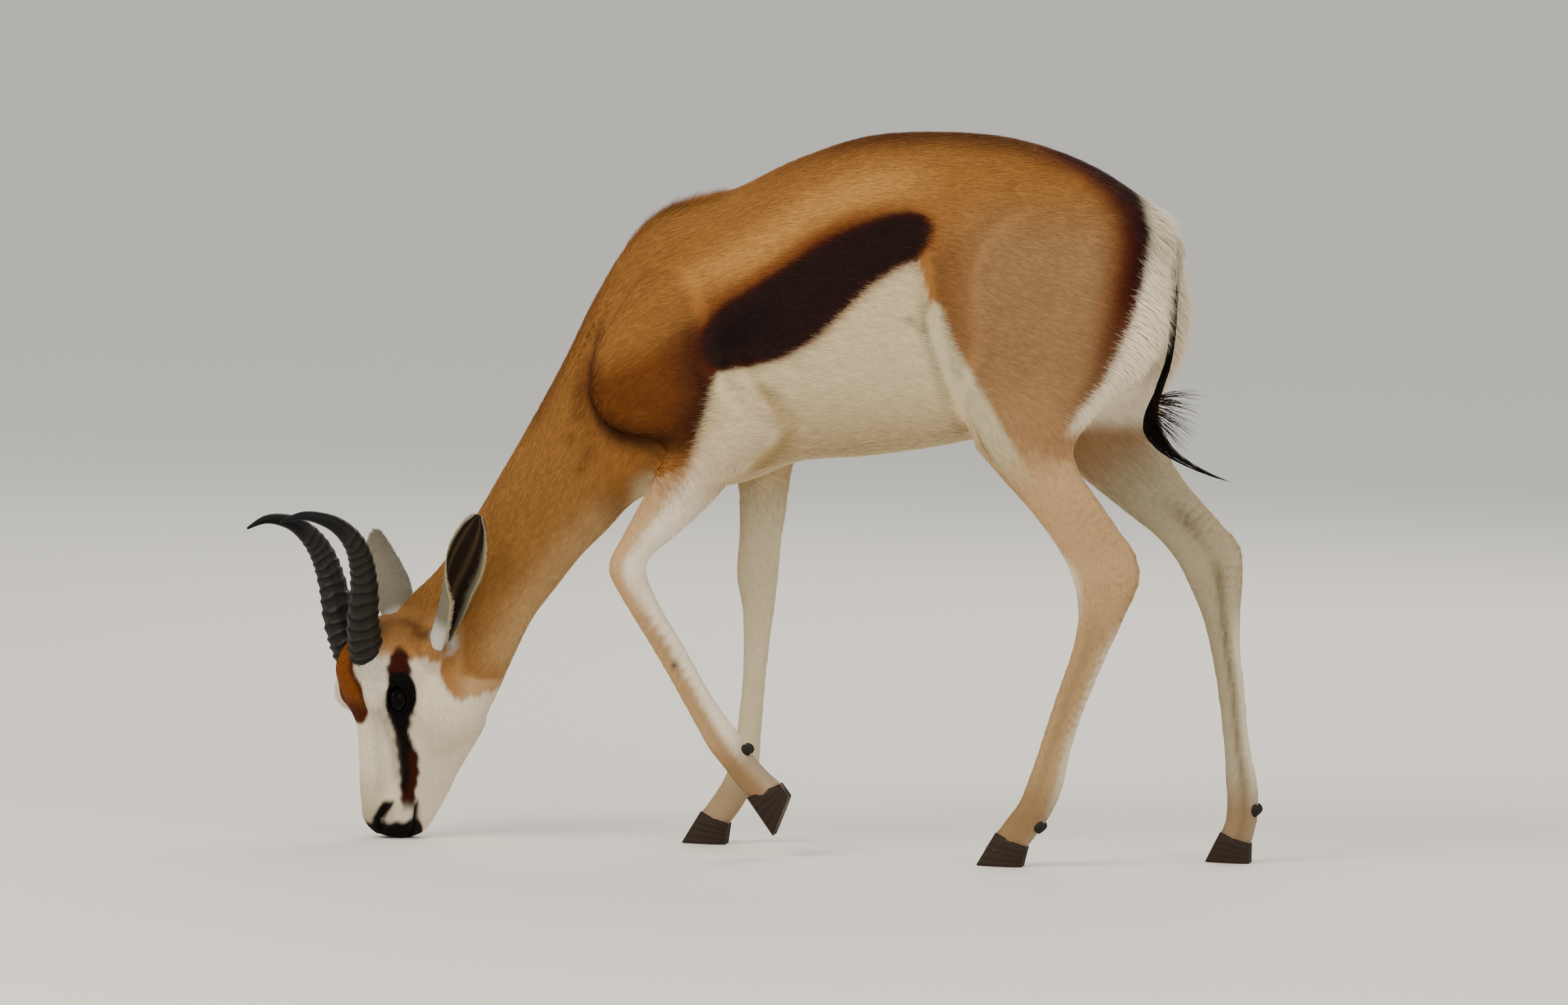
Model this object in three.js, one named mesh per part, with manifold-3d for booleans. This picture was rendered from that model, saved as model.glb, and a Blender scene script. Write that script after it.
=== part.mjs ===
// A life-size springbok, walking slowly with its head down to graze. Millimetres, +Z up. The animal
// faces -X and its left side is -Y. It stands on three hoofs and its lips, and its left forefoot is lifted.
import * as THREE from "three";
import { mergeVertices } from "three/addons/utils/BufferGeometryUtils.js";
import Module from "manifold-3d";

const wasm = await Module();
wasm.setup();

// Driving dimensions
const GAP = 0.3; // between two pieces that touch
const LIP_HEIGHT = 154; // from the eyes down to the lips, with the head held upright
const HEAD_TURN = 38; // degrees that the head turns to the animal's left
const HEAD_AT = [-443, -8]; // where the head's middle plane crosses the eyes, x and y
const TAIL_LOCKS = 13;

// Colours seen on the animal
const FAWN = 0xb98448;
const WHITE = 0xe6dccb;
const HORN_GREY = 0x34322f;
const HOOF_GREY = 0x3b342c;
const EYE_BLACK = 0x0d0b0a;
const TUFT_BLACK = 0x1d1613;
const EAR_GREY = 0x9c9078;

// Small helpers

const DEGREE = Math.PI / 180;
const lerp = (a, b, t) => a + (b - a) * t;

// The row of numbers at parameter u on a Catmull-Rom curve through rows.
function rowAt(rows, u) {
  const i = Math.min(Math.floor(u), rows.length - 2);
  const t = u - i;
  const at = (k) => rows[Math.max(0, Math.min(rows.length - 1, k))];
  return rows[i].map((_, c) => {
    const [a, b, d, e] = [at(i - 1)[c], at(i)[c], at(i + 1)[c], at(i + 2)[c]];
    const bend = 2 * a - 5 * b + 4 * d - e;
    const twist = 3 * b - a - 3 * d + e;
    return 0.5 * (2 * b + t * (d - a + t * (bend + t * twist)));
  });
}

// Rows spread evenly along that curve, about steps to each span.
function spread(rows, steps) {
  const spans = rows.length - 1;
  const count = Math.round(spans * steps);
  return Array.from({ length: count + 1 }, (_, k) => rowAt(rows, (k * spans) / count));
}

// Cosine and sine of a superellipse: power 2 is an ellipse, and more is boxier.
function oval(angle, power) {
  const soft = (v) => Math.sign(v) * Math.abs(v) ** (2 / power);
  return [soft(Math.cos(angle)), soft(Math.sin(angle))];
}

// A solid from a closed three.js geometry, turned the right way out.
function fromGeometry(geometry) {
  geometry.deleteAttribute("normal");
  geometry.deleteAttribute("uv");
  const merged = mergeVertices(geometry, 1e-4);
  const vertProperties = merged.attributes.position.array;
  const triVerts = new Uint32Array(merged.index.array);
  const corner = (i) => new THREE.Vector3().fromArray(vertProperties, 3 * triVerts[i]);
  let volume = 0;
  for (let i = 0; i < triVerts.length; i += 3) volume += corner(i).dot(corner(i + 1).cross(corner(i + 2)));
  if (volume < 0) triVerts.reverse();
  return new wasm.Manifold(new wasm.Mesh({ numProp: 3, vertProperties, triVerts }));
}

// Joins rings of equal count into one closed skin. Each end closes on a point in its middle, or, where
// a ring is a thin crescent, across from its outer to its inner side.
function skin(rings, crescent = false) {
  const sides = rings[0].length;
  const points = rings.flat();
  const faces = [];
  const at = (ring, side) => ring * sides + ((side + sides) % sides);
  for (let i = 0; i + 1 < rings.length; i++) {
    for (let j = 0; j < sides; j++) {
      faces.push([at(i, j), at(i + 1, j), at(i + 1, j + 1)], [at(i, j), at(i + 1, j + 1), at(i, j + 1)]);
    }
  }
  for (const [ring, first] of [[0, true], [rings.length - 1, false]]) {
    const add = (a, b, c) => faces.push(first ? [a, b, c] : [a, c, b]);
    if (crescent) {
      for (let j = 0; j < sides / 2 - 1; j++) {
        const [outer, inner] = [at(ring, j), at(ring, sides - 1 - j)];
        add(outer, at(ring, j + 1), inner);
        add(at(ring, j + 1), at(ring, sides - 2 - j), inner);
      }
    } else {
      const middle = new THREE.Vector3();
      rings[ring].forEach((p) => middle.addScaledVector(p, 1 / sides));
      points.push(middle);
      for (let j = 0; j < sides; j++) add(points.length - 1, at(ring, j), at(ring, j + 1));
    }
  }
  const geometry = new THREE.BufferGeometry().setFromPoints(points);
  geometry.setIndex(faces.flat());
  return fromGeometry(geometry);
}

// One cross-section of a body or limb, from a row of numbers: the front or upper outline point x, z, the
// back or lower one x, z, the middle's y, the half width, egg (how much wider the front is), and waist
// (how far the middle of each side is hollowed).
function section(row, sides, power) {
  const [frontX, frontZ, backX, backZ, y, half, egg, waist] = row;
  return Array.from({ length: sides }, (_, j) => {
    const [c, s] = oval((2 * Math.PI * j) / sides, power);
    const wide = half * s * (1 + egg * c) * (1 - waist * s * s);
    const [x, z] = [lerp(backX, frontX, (1 + c) / 2), lerp(backZ, frontZ, (1 + c) / 2)];
    return new THREE.Vector3(x, y + wide, z);
  });
}

const tube = (rows, sides, steps, power = 2.2) =>
  skin(spread(rows, steps).map((row) => section(row, sides, power)));

// A round cord through points [x, y, z, radius]: the tail, and the cuts for the mouth and the nostrils.
function cordAlong(rows, sides, steps) {
  const path = spread(rows, steps);
  const middles = path.map(([x, y, z]) => new THREE.Vector3(x, y, z));
  const rings = path.map((row, i) => {
    const along = middles[Math.min(i + 1, path.length - 1)].clone();
    along.sub(middles[Math.max(i - 1, 0)]).normalize();
    const across = new THREE.Vector3(0, 0, 1).cross(along);
    if (across.length() < 0.2) across.set(1, 0, 0).cross(along);
    across.normalize();
    const other = along.clone().cross(across);
    return Array.from({ length: sides }, (_, j) => {
      const angle = (2 * Math.PI * j) / sides;
      const p = middles[i].clone().addScaledVector(across, row[3] * Math.cos(angle));
      return p.addScaledVector(other, row[3] * Math.sin(angle));
    });
  });
  return skin(rings);
}

// An ellipsoid with its radii along x, y and z.
function ellipsoid([x, y, z], [rx, ry, rz], wide = 16, high = 10) {
  const ball = new THREE.SphereGeometry(1, wide, high);
  ball.scale(rx, ry, rz);
  ball.translate(x, y, z);
  return fromGeometry(ball);
}

const join = (...solids) => wasm.Manifold.union(solids);

// The largest closed surface of a solid.
function largest(whole) {
  const pieces = whole.decompose();
  return pieces.reduce((a, b) => (a.volume() > b.volume() ? a : b));
}

// A plane across a limb through a row's two outline points, facing down the limb.
function planeAt(rows, u, step = 0.5) {
  const [frontX, frontZ, backX, backZ] = rowAt(rows, u);
  const normal = new THREE.Vector3(backZ - frontZ, 0, frontX - backX).normalize();
  const next = rowAt(rows, Math.min(u + step, rows.length - 1));
  const onwards = new THREE.Vector3(next[0] + next[2] - frontX - backX, 0, next[1] + next[3] - frontZ - backZ);
  if (normal.dot(onwards) < 0) normal.negate();
  return { normal, offset: normal.dot(new THREE.Vector3(frontX, 0, frontZ)) };
}

// Parts a solid with thin cuts at each plane in turn, and gives the pieces in order.
function partAt(whole, planes) {
  const pieces = [];
  let rest = whole;
  for (const { normal, offset } of planes) {
    const back = normal.clone().negate();
    pieces.push(largest(rest.trimByPlane(back.toArray(), -offset + GAP / 2)));
    rest = largest(rest.trimByPlane(normal.toArray(), offset + GAP / 2));
  }
  return [...pieces, rest];
}

// Trunk and neck: from the rump along the arched back to the poll. Columns as for section.
const TRUNK = [
  [402, 655, 394, 585, 0, 24, 0, 0],
  [392, 692, 384, 545, 0, 58, 0, 0],
  [364, 719, 360, 515, 0, 82, -0.06, 0],
  [309, 751, 299, 477, 0, 92, -0.12, 0],
  [236, 774, 229, 458, 0, 95, -0.16, 0],
  [158, 780, 158, 441, 0, 96, -0.16, 0],
  [73, 773, 81, 428, 0, 107, -0.14, 0],
  [-4, 746, 10, 420, 0, 111, -0.1, 0],
  [-74, 711, -46, 398, 0, 103, -0.06, 0],
  [-144, 688, -95, 386, 0, 86, -0.06, 0],
  [-186, 648, -135, 380, 0, 70, -0.04, 0],
  [-222, 586, -160, 376, 0, 58, 0, 0],
  [-248, 530, -178, 364, 0, 51, 0.05, 0],
  [-281, 466, -198, 341, 1, 46, 0.06, 0],
  [-315, 405, -228, 310, 4, 43, 0.06, 0],
  [-352, 341, -256, 275, 8, 40, 0.05, 0],
  [-388, 290, -281, 241, 12, 38, 0.04, 0],
  [-415, 262, -299, 204, 14, 37, 0, 0],
  [-438, 232, -312, 172, 12, 37, 0, 0],
  [-446, 190, -324, 144, 6, 36, 0, 0],
  [-440, 150, -337, 116, -4, 32, 0, 0],
  [-430, 118, -376, 92, -6, 12, 0, 0],
];

// Left foreleg, lifted and bent at the knee: scapula, elbow, knee, fetlock, coronet.
const LEFT_FORE = [
  [-140, 640, -100, 648, -52, 10, 0, 0],
  [-176, 600, -66, 622, -60, 24, 0, 0],
  [-206, 540, -46, 570, -66, 31, 0, 0],
  [-212, 486, -34, 516, -68, 33, 0, 0],
  [-186, 452, -12, 476, -67, 32, 0, 0],
  [-134, 436, -12, 448, -66, 30, 0, 0],
  [-142, 405, -47, 413, -64, 25, 0.08, 0],
  [-159, 372, -81, 373, -62, 21.5, 0.08, 0],
  [-177, 337, -116, 339, -61, 19, 0.05, 0],
  [-187, 315, -138, 320, -60, 18.5, 0.05, 0.05],
  [-188, 298, -146, 303, -60, 18.5, 0.05, 0.05],
  [-178, 278, -141, 285, -60, 17, 0, 0.1],
  [-164, 256, -129, 261, -60, 14.5, 0, 0.12],
  [-136, 213, -103, 220, -59, 12.5, 0, 0.16],
  [-109, 168, -77, 176, -58, 12.5, 0, 0.16],
  [-90, 136, -57, 148, -58, 14.5, 0, 0.1],
  [-76, 113, -41, 128, -58, 17, 0, 0.05],
  [-61, 95, -28, 109, -58, 16.5, 0, 0],
  [-46, 76, -12, 92, -58, 15.5, 0, 0],
  [-31, 61, 5, 77, -58, 16.5, 0, 0],
  [-20, 48, 10, 62, -58, 13, 0, 0],
];

// Right foreleg, straight under the body and carrying the weight.
const RIGHT_FORE = [
  [-140, 640, -100, 648, 52, 10, 0, 0],
  [-176, 600, -66, 622, 60, 24, 0, 0],
  [-202, 540, -42, 570, 66, 31, 0, 0],
  [-196, 488, -18, 516, 68, 33, 0, 0],
  [-142, 450, 0, 474, 67, 32, 0, 0],
  [-88, 424, -2, 440, 66, 28, 0, 0],
  [-71, 391, -10, 404, 66, 23, 0.08, 0],
  [-68, 358, -14, 364, 66, 20.5, 0.08, 0],
  [-68, 332, -18, 334, 67, 19, 0.05, 0],
  [-69, 307, -20, 308, 67, 18.5, 0.05, 0.05],
  [-67, 281, -23, 279, 68, 18, 0, 0.08],
  [-62, 256, -26, 253, 68, 15, 0, 0.12],
  [-60, 209, -31, 207, 68, 12.5, 0, 0.16],
  [-61, 166, -34, 165, 68, 12.5, 0, 0.16],
  [-65, 124, -37, 121, 68, 14, 0, 0.12],
  [-69, 96, -38, 92, 68, 17, 0, 0.05],
  [-77, 72, -43, 66, 68, 16.5, 0, 0],
  [-90, 50, -57, 39, 68, 15.5, 0, 0],
  [-102, 33, -71, 20, 68, 16, 0, 0],
  [-108, 22, -80, 12, 68, 13, 0, 0],
];

// Left hind leg: hip, flank fold, stifle, hock with its heel bone, cannon, fetlock.
const LEFT_HIND = [
  [232, 720, 330, 712, -48, 12, 0, 0],
  [190, 694, 368, 690, -56, 26, 0, 0],
  [163, 646, 396, 646, -63, 36, 0, 0],
  [156, 590, 403, 588, -66, 39, -0.05, 0],
  [167, 530, 380, 541, -67, 37, -0.05, 0],
  [184, 478, 342, 494, -68, 33, 0, 0],
  [206, 444, 314, 455, -68, 29, 0.05, 0],
  [234, 412, 318, 426, -67, 25, 0.1, 0],
  [261, 383, 339, 396, -66, 21.5, 0.15, 0.06],
  [286, 352, 363, 363, -64, 18, 0.2, 0.25],
  [304, 323, 381, 337, -63, 15.5, 0.12, 0.38],
  [315, 292, 384, 306, -63, 16, 0.08, 0.14],
  [318, 263, 368, 266, -63, 17, 0.04, 0.06],
  [312, 230, 353, 231, -63, 14.5, 0, 0.12],
  [302, 198, 340, 199, -64, 13, 0, 0.16],
  [290, 160, 326, 161, -65, 12.5, 0, 0.16],
  [279, 122, 315, 122, -66, 14, 0, 0.1],
  [270, 94, 309, 90, -67, 17, 0, 0.05],
  [261, 70, 299, 62, -68, 16.5, 0, 0],
  [248, 51, 284, 38, -68, 15.5, 0, 0],
  [236, 34, 270, 19, -68, 16, 0, 0],
  [229, 22, 262, 11, -68, 13, 0, 0],
];

// Right hind leg, stretched out behind.
const RIGHT_HIND = [
  [232, 720, 330, 712, 48, 12, 0, 0],
  [190, 694, 368, 690, 56, 26, 0, 0],
  [163, 646, 400, 646, 63, 36, 0, 0],
  [162, 590, 409, 592, 66, 39, -0.05, 0],
  [190, 524, 403, 540, 68, 37, -0.05, 0],
  [233, 464, 390, 492, 68, 33, 0, 0],
  [281, 425, 392, 456, 68, 28, 0.05, 0],
  [319, 396, 406, 424, 67, 24, 0.1, 0],
  [355, 369, 430, 394, 66, 20.5, 0.15, 0.08],
  [387, 345, 457, 366, 65, 17, 0.2, 0.25],
  [408, 320, 478, 342, 64, 15.5, 0.12, 0.38],
  [423, 294, 482, 308, 64, 16, 0.08, 0.14],
  [438, 262, 480, 266, 64, 16.5, 0.04, 0.06],
  [448, 225, 481, 226, 64, 14, 0, 0.12],
  [455, 190, 486, 191, 64, 12.5, 0, 0.16],
  [461, 150, 490, 151, 64, 12.5, 0, 0.16],
  [465, 118, 495, 118, 64, 14, 0, 0.1],
  [467, 91, 502, 90, 64, 17, 0, 0.05],
  [469, 66, 504, 62, 64, 16.5, 0, 0],
  [468, 46, 502, 38, 64, 15.5, 0, 0],
  [463, 31, 496, 19, 64, 16, 0, 0],
  [458, 21, 490, 12, 64, 13, 0, 0],
];

// Where each leg is parted, as places along its rows: below the body, under the knee or hock, above
// the fetlock and at the coronet. dew is the dewclaws' place, and hoof the claws' toe and heel, x and z.
const LEGS = {
  fore_left: { rows: LEFT_FORE, cuts: [7, 12, 15.4, 19], dew: 16.7, hoof: [[-3, 22], [13, 66]] },
  fore_right: { rows: RIGHT_FORE, cuts: [7, 11.4, 14.6, 18], dew: 16.2, hoof: [[-121, 0], [-72, 0]] },
  hind_left: { rows: LEFT_HIND, cuts: [7, 12.6, 16.4, 20], dew: 18.8, hoof: [[217, 0], [267, 0]] },
  hind_right: { rows: RIGHT_HIND, cuts: [7, 12.6, 16.4, 20], dew: 18.2, hoof: [[448, 0], [497, 0]] },
};

const LIMB_SIDES = 12;
const LIMB_STEPS = 1.5;
const CLAW = { side: 8.6, half: 7.7 };
const DEWCLAW = { length: 6.8, half: 4.2, high: 7.2, side: 9 };

// One claw of a hoof: a wedge from the coronet down to a flat sole, drawn to a point at the toe.
function claw(front, back, toe, heel, y) {
  const rows = [
    [...front, ...back, y, CLAW.half * 0.86, -0.12, 0],
    [...mix(front, toe, 0.12), ...mix(back, heel, 0.12), y, CLAW.half, -0.2, 0],
    [...mix(front, toe, 0.55), ...mix(back, heel, 0.6), y, CLAW.half, -0.32, 0],
    [...mix(front, toe, 0.97), ...mix(back, heel, 0.97), y, CLAW.half * 0.98, -0.45, 0],
    [...mix(toe, heel, 0.02), ...heel, y, CLAW.half * 0.94, -0.45, 0],
  ];
  return skin(rows.map((row) => section(row, 10, 2.1)));
}

const mix = (a, b, t) => a.map((v, i) => lerp(v, b[i], t));

// One leg: the part that belongs to the body, then upper leg, cannon, pastern, claws and dewclaws.
function leg({ rows, cuts, dew, hoof: [toe, heel] }) {
  const whole = tube(rows, LIMB_SIDES, LIMB_STEPS);
  const planes = cuts.map((u) => planeAt(rows, u));
  const [inBody, upper, cannon, foot] = partAt(whole, planes);
  const [frontX, frontZ, backX, backZ, y] = rowAt(rows, cuts[3]);
  const down = planes[3].normal.clone().multiplyScalar(2 * GAP);
  const [front, back] = [[frontX + down.x, frontZ + down.z], [backX + down.x, backZ + down.z]];
  const claws = [-1, 1].map((side) => claw(front, back, toe, heel, y + side * CLAW.side));
  const ankle = rowAt(rows, dew);
  const rear = new THREE.Vector3(ankle[2] - ankle[0], 0, ankle[3] - ankle[1]).normalize();
  const dewclaws = [-1, 1].map((side) => {
    const middle = [ankle[2] - rear.x * 3, ankle[4] + side * DEWCLAW.side, ankle[3] - rear.z * 3];
    return ellipsoid(middle, [DEWCLAW.length, DEWCLAW.half, DEWCLAW.high], 8, 5);
  });
  return { inBody, upper, cannon, pastern: foot, claws, dewclaws };
}

// The head stands upright with the muzzle down. In it, t runs from the eyes down to the lips, l to the
// animal's left, and d from the middle towards the face.
const turn = HEAD_TURN * DEGREE;
const FACE = [-Math.cos(turn), -Math.sin(turn)];
const LEFT = [Math.sin(turn), -Math.cos(turn)];

function headPoint(t, l, d) {
  const x = HEAD_AT[0] + l * LEFT[0] + d * FACE[0];
  const y = HEAD_AT[1] + l * LEFT[1] + d * FACE[1];
  return new THREE.Vector3(x, y, LIP_HEIGHT - t);
}

const headRow = ([t, l, d, ...rest]) => [...headPoint(t, l, d).toArray(), ...rest];

// Head rows: t, d of the face's line, d of the jaw's line, half width, egg.
const HEAD = [
  [-88, -8, -46, 12, 0],
  [-81, 14, -64, 27, 0],
  [-66, 32, -82, 38, 0.02],
  [-48, 45, -98, 44, 0.06],
  [-28, 49, -110, 49, 0.1],
  [-8, 43, -120, 49, 0.1],
  [12, 33, -126, 47, 0.06],
  [30, 25, -127, 42.5, 0],
  [48, 22, -118, 40, -0.05],
  [68, 21, -105, 36, -0.08],
  [88, 20.5, -93, 32, -0.08],
  [107, 19, -84, 29, -0.04],
  [124, 16.5, -74, 27, 0],
  [138, 11, -65, 24.5, 0],
  [148, 0, -56, 19.5, 0],
  [154, -12, -44, 10, 0],
];
const HEAD_SIDES = 20;

function headRings(steps) {
  return spread(HEAD, steps).map(([t, top, bottom, half, egg]) =>
    Array.from({ length: HEAD_SIDES }, (_, j) => {
      const [c, s] = oval((2 * Math.PI * j) / HEAD_SIDES, 2.2);
      return headPoint(Math.min(t, LIP_HEIGHT), half * s * (1 + egg * c), lerp(bottom, top, (1 + c) / 2));
    }),
  );
}

// The sideways reach of the head's skin at place t and height d.
function reach(t, d) {
  let u = 0;
  while (u < HEAD.length - 1.01 && rowAt(HEAD, u)[0] < t) u += 0.02;
  const [, top, bottom, half, egg] = rowAt(HEAD, u);
  const c = Math.max(-0.999, Math.min(0.999, (2 * d - top - bottom) / (top - bottom)));
  return half * (1 - Math.abs(c) ** 2.2) ** (1 / 2.2) * (1 + egg * c);
}

// A ball in the head's frame, with its radii along t, l and d.
function headBall([t, l, d], [rt, rl, rd], wide = 12, high = 7) {
  const ball = new THREE.SphereGeometry(1, wide, high);
  ball.applyMatrix4(headFrame(rl, rd, rt));
  ball.translate(...headPoint(t, l, d).toArray());
  return fromGeometry(ball);
}

// Turns x, y and z into the head's left, face and up, each lengthened.
function headFrame(left, face, up) {
  const axes = [new THREE.Vector3(...LEFT, 0), new THREE.Vector3(...FACE, 0), new THREE.Vector3(0, 0, 1)];
  return new THREE.Matrix4().makeBasis(...axes).scale(new THREE.Vector3(left, face, up));
}

// The slit of the mouth: a groove from one corner round the tip of the nose to the other corner.
const MOUTH = { corner: 106, tip: 154, cornerD: -37, tipD: -31, radius: 2.2, steps: 6 };

function mouth() {
  const side = Array.from({ length: MOUTH.steps }, (_, i) => {
    const k = i / (MOUTH.steps - 1);
    const t = lerp(MOUTH.corner, MOUTH.tip - 4, k ** 0.8);
    const d = lerp(MOUTH.cornerD, MOUTH.tipD, k);
    return [t, reach(t, d) + 0.6, d, MOUTH.radius * (0.35 + 0.65 * Math.min(1, 3 * k))];
  });
  const middle = [MOUTH.tip + 0.5, 0, MOUTH.tipD, MOUTH.radius];
  const other = side.map(([t, l, d, r]) => [t, -l, d, r]).reverse();
  return cordAlong([...side, middle, ...other].map(headRow), 6, 2);
}

// Upper and lower lip: low swellings on each side of the slit, t, l, d and radii as for headBall.
const LIPS = [
  [[133, 11.5, -15], [18, 12.5, 16]],
  [[129, 10.5, -47], [17, 11, 14]],
];

// Nostril: a comma-shaped slit on each side of the nose, t, l, d and radius.
const NOSTRIL = [
  [112, 25.5, -3, 1],
  [121, 23.5, 2, 2.2],
  [131, 20, 5, 3],
  [140, 14, 4, 2.8],
  [146, 9, 0, 1.4],
];

const nostril = (sign) => cordAlong(NOSTRIL.map(([t, l, d, r]) => headRow([t, sign * l, d, r])), 6, 2);

// The eye: a ball in a bony rim. The lids are what is left of the rim's skin in front of the ball
// when the almond-shaped slit is cut.
const EYE = { radius: 17, out: 36, up: 1 };
const SLIT = { length: 16.5, height: 12.5, depth: 13, forward: 0.3, slant: 12 };
const RIM = { at: [-4, 33, 8], radii: [26, 22, 28] };

const rim = (sign) => headBall([RIM.at[0], sign * RIM.at[1], RIM.at[2]], RIM.radii, 16, 9);
const eyeball = (extra, wide, high) => (sign) =>
  headBall([0, sign * EYE.out, EYE.up], Array(3).fill(EYE.radius + extra), wide, high);

function slit(sign) {
  const outward = headPoint(0, sign, SLIT.forward).sub(headPoint(0, 0, 0)).normalize();
  const upright = new THREE.Vector3(0, 0, 1).applyAxisAngle(outward, sign * SLIT.slant * DEGREE);
  const frame = new THREE.Matrix4().makeBasis(upright.clone().cross(outward), upright, outward);
  const almond = new THREE.SphereGeometry(1, 14, 6);
  almond.scale(SLIT.height, SLIT.length, SLIT.depth);
  almond.applyMatrix4(frame);
  almond.translate(...headPoint(0, sign * EYE.out, EYE.up).addScaledVector(outward, 18).toArray());
  return fromGeometry(almond);
}

// Horns: from the crown up and then forward, ringed below, smooth and hooked above. t, l, d, radius.
const HORN = [
  [-32, 16, 24, 16],
  [-56, 21, 30, 19],
  [-84, 27, 37, 18],
  [-119, 36, 41, 15.6],
  [-147, 42, 48, 14],
  [-169, 46, 60, 12],
  [-187, 47, 79, 9.3],
  [-196, 45, 100, 6.8],
  [-199, 42, 122, 4.4],
  [-193, 38, 145, 1.3],
];
const RING = { count: 14, from: 0.05, to: 0.64, height: 0.085, slant: 3 };
const HORN_DROOP = { left: 0, right: 13 }; // how much lower one horn hangs at its tip

function horn(side) {
  const sign = side === "left" ? 1 : -1;
  const ringed = Array.from({ length: RING.count * 3 }, (_, i) => [i / 3 / RING.count, [-0.6, 0.3, 1][i % 3]]);
  const stations = [
    [0, 0],
    ...ringed.map(([k, ridge]) => [lerp(RING.from, RING.to, k), ridge * (1 - 0.5 * k)]),
    ...[0.66, 0.72, 0.79, 0.86, 0.93, 1].map((k) => [k, 0]),
  ];
  const path = stations.map(([share]) => rowAt(HORN, share * (HORN.length - 1)));
  const middles = path.map(([t, l, d], i) => headPoint(t + HORN_DROOP[side] * stations[i][0] ** 2, sign * l, d));
  const rings = path.map(([, , , radius], i) => {
    const along = middles[Math.min(i + 1, path.length - 1)].clone();
    along.sub(middles[Math.max(i - 1, 0)]).normalize();
    const width = new THREE.Vector3(...LEFT, 0).addScaledVector(along, -along.dot({ x: LEFT[0], y: LEFT[1], z: 0 }));
    width.normalize();
    const depth = along.clone().cross(width);
    const wide = radius * (1 + RING.height * stations[i][1]);
    const slant = stations[i][0] > RING.from && stations[i][0] < RING.to ? RING.slant : 0;
    return Array.from({ length: 9 }, (_, j) => {
      const [c, s] = oval((2 * Math.PI * j) / 9, 2);
      const p = middles[i].clone().addScaledVector(width, wide * 0.84 * c).addScaledVector(depth, wide * s);
      return p.addScaledVector(along, slant * s);
    });
  });
  return { whole: skin(rings), cut: across(middles, 3) };
}

// A plane square to a path at one of its points, facing along it.
function across(middles, index) {
  const normal = middles[index + 1].clone().sub(middles[index - 1]).normalize();
  return { normal, offset: normal.dot(middles[index]) };
}

// Ears: a leaf rolled into a cup. root and vector are t, l, d, and open says which way the cup faces.
// Its lower part is turned by twist degrees, so that the opening looks backwards there.
const EARS = {
  left: { root: [-60, 54, -36], vector: [-143, 76, -9], open: [-0.1, 0.75, 0.62], twist: -76 },
  right: { root: [-62, -50, -50], vector: [-103, -102, -24], open: [0.1, -0.95, 0.3], twist: 72 },
};
const TWISTED = { below: 0.4, until: 0.95 }; // shares of the ear's length
// Rows along the ear: share of the length, half width round the curve, half angle of the roll, thickness.
const EAR_ROWS = [
  [0, 25, 150, 4],
  [0.13, 28, 135, 3.4],
  [0.28, 32, 112, 2.8],
  [0.45, 34.5, 92, 2.4],
  [0.62, 32, 76, 2.1],
  [0.78, 24, 64, 1.8],
  [0.91, 13.5, 56, 1.5],
  [1, 2.6, 50, 1.2],
];

function ear({ root, vector, open, twist }) {
  const ACROSS = 7;
  const origin = headPoint(...root);
  const axis = headPoint(...vector).sub(headPoint(0, 0, 0));
  const length = axis.length();
  axis.normalize();
  const facing = headPoint(...open).sub(headPoint(0, 0, 0));
  facing.addScaledVector(axis, -facing.dot(axis)).normalize();
  const path = spread(EAR_ROWS, 2);
  const rings = path.map(([share, half, roll, thick]) => {
    const radius = half / (roll * DEGREE);
    const still = (TWISTED.until - share) / (TWISTED.until - TWISTED.below);
    const turned = twist * Math.min(1, Math.max(0, still)) * DEGREE;
    const front = facing.clone().applyAxisAngle(axis, -turned);
    const side = axis.clone().cross(front);
    const curl = (offset, v) => {
      const angle = v * roll * DEGREE;
      const r = radius + offset * thick * (1 - 0.45 * v * v);
      const p = origin.clone().addScaledVector(axis, share * length);
      p.addScaledVector(side, r * Math.sin(angle));
      return p.addScaledVector(front, radius * 0.6 - r * Math.cos(angle));
    };
    const steps = Array.from({ length: ACROSS + 1 }, (_, j) => (2 * j) / ACROSS - 1);
    return [...steps.map((v) => curl(0.5, v)), ...steps.reverse().map((v) => curl(-0.5, v))];
  });
  const middles = path.map(([share]) => origin.clone().addScaledVector(axis, share * length));
  return { whole: skin(rings, true), cut: across(middles, 2) };
}

// The head with everything that is flesh: lips, lids, nostrils, and the roots of ears and horns.
function makeHead(neckEnd) {
  const [horns, ears] = [["left", "right"].map(horn), [EARS.left, EARS.right].map(ear)];
  const [hornParts, earParts] = [horns, ears].map((list) => list.map(({ whole, cut }) => partAt(whole, [cut])));
  const mounds = [EARS.left, EARS.right].map(({ root: [t, l, d] }) => headBall([t + 8, l * 0.94, d - 5], [25, 18, 24]));
  const flesh = [skin(headRings(2)), neckEnd, ...mounds];
  flesh.push(...hornParts.map(([root]) => root), ...earParts.map(([root]) => root));
  const hollows = [mouth()];
  for (const sign of [1, -1]) {
    flesh.push(rim(sign), ...LIPS.map(([[t, l, d], radii]) => headBall([t, sign * l, d], radii)));
    hollows.push(eyeball(GAP, 14, 8)(sign), slit(sign), nostril(sign));
  }
  const head = largest(join(...flesh).subtract(join(...hollows)));
  return { head, horns: hornParts.map(([, free]) => free), ears: earParts.map(([, free]) => free) };
}

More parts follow.
